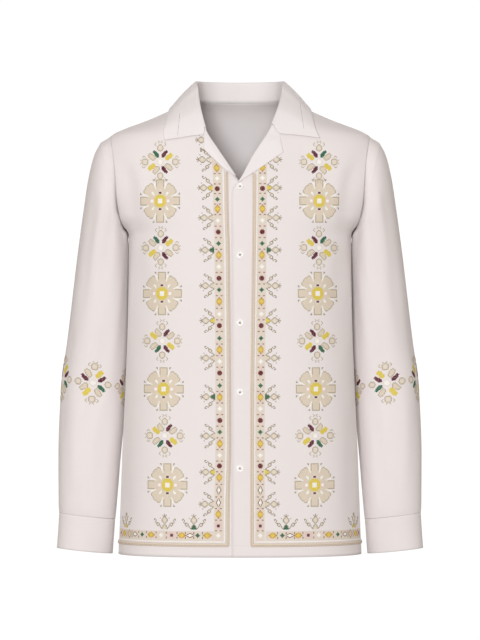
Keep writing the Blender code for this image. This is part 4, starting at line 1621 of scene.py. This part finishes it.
lines = []
for side in ("left", "right"):
    edgeX = frontEdgeX(side, hemSewing["edgeZ"]) + hemSewing["edgeGap"]
    lines.append(hemLine(side, float(frontAngle(edgeX, hemSewing["edgeZ"])), hemSewing["frontEnd"], 200))
lines.append(hemLine("back", *hemSewing["back"], 400))
stitchRow("hem_stitching", lines, "hem", threadFinish("sewingThread", look["sewing"]))
print("sewing done")


stage = {
    "floorZ": -1.02,
    "floorSize": 2.05,
    "ambient": 0.24,
    "ambientColour": (1.0, 0.86, 0.75),
    "backdrop": 1.05,
    # place, target, size, power, colour
    "lights": {
        "frontLight": ((-0.5, -7.6, -0.1), (0.0, 0.0, -0.36), (1.8, 1.8), 440.0, (0.985, 1.0, 1.03)),
        "topLight": ((-0.3, -1.6, 3.2), (0.0, 0.0, -0.2), (2.4, 2.0), 21.0, (0.97, 0.98, 1.0)),
        "backLight": ((0.3, 4.2, 1.2), (0.0, 0.0, -0.36), (2.6, 2.6), 150.0, (1.0, 0.99, 0.98)),
        "leftLight": ((4.2, -0.4, 0.6), (0.0, 0.0, -0.36), (2.2, 2.2), 34.0, (1.0, 0.99, 0.98)),
        "rightLight": ((-4.2, -0.4, 0.6), (0.0, 0.0, -0.36), (2.2, 2.2), 34.0, (1.0, 0.99, 0.98)),
    },
}

floorMesh = bpy.data.meshes.new("floor")
half, floorZ = stage["floorSize"], stage["floorZ"]
corners = [(-half, -half, floorZ), (half, -half, floorZ), (half, half, floorZ), (-half, half, floorZ)]
floorMesh.from_pydata(corners, [], [(0, 1, 2, 3)])
floor = bpy.data.objects.new("floor", floorMesh)
bpy.context.scene.collection.objects.link(floor)
floorFinish = Finish("paleFloor", 0.95, Emission_Color=(1.0, 1.0, 1.0, 1.0), Emission_Strength=0.5)
floorFinish.feed("Base Color", floorFinish.blendColours(
    floorFinish.noise(2.0), (0.96, 0.96, 0.96), (0.94, 0.94, 0.94)))
floorMesh.materials.append(floorFinish.material)
floor.visible_diffuse = False  # the pale floor throws no glow on the hem

for name, (place, target, size, power, colour) in stage["lights"].items():
    data = bpy.data.lights.new(name, "AREA")
    data.shape = "RECTANGLE"
    data.size, data.size_y = size
    data.energy = power
    data.color = colour
    made = bpy.data.objects.new(name, data)
    made.location = place
    made.rotation_euler = (Vector(target) - Vector(place)).to_track_quat("-Z", "Y").to_euler()
    bpy.context.scene.collection.objects.link(made)

world = bpy.data.worlds.new("studio")
world.use_nodes = True
sky = NodeTree(world.node_tree)
ambient = sky.tree.nodes["Background"]
ambient.inputs["Color"].default_value = (*stage["ambientColour"], 1.0)
ambient.inputs["Strength"].default_value = stage["ambient"]
white = {"Color": (1.0, 1.0, 1.0, 1.0), "Strength": stage["backdrop"]}
backdrop = sky.node("ShaderNodeBackground", {}, white)
# rays straight from the camera see the backdrop, all others the ambient light
either = sky.node("ShaderNodeMixShader", {}, {
    0: sky.node("ShaderNodeLightPath"), 1: Wire(sky.tree, ambient.outputs[0]), 2: backdrop})
sky.tree.links.new(either.socket, sky.tree.nodes["World Output"].inputs["Surface"])
bpy.context.scene.world = world

view = {"distance": 7.0, "height": -0.352, "field": 1.024, "sensor": 36.0, "clipEnd": 100.0}
cameraData = bpy.data.cameras.new("camera")
cameraData.sensor_fit = "AUTO"
cameraData.sensor_width = view["sensor"]
cameraData.lens = view["sensor"] * view["distance"] / view["field"]
cameraData.clip_end = view["clipEnd"]
camera = bpy.data.objects.new("camera", cameraData)
camera.location = (0.0, -view["distance"], view["height"])
camera.rotation_euler = (math.pi / 2.0, 0.0, 0.0)
bpy.context.scene.collection.objects.link(camera)
bpy.context.scene.camera = camera
bpy.context.scene.view_settings.view_transform = "Standard"
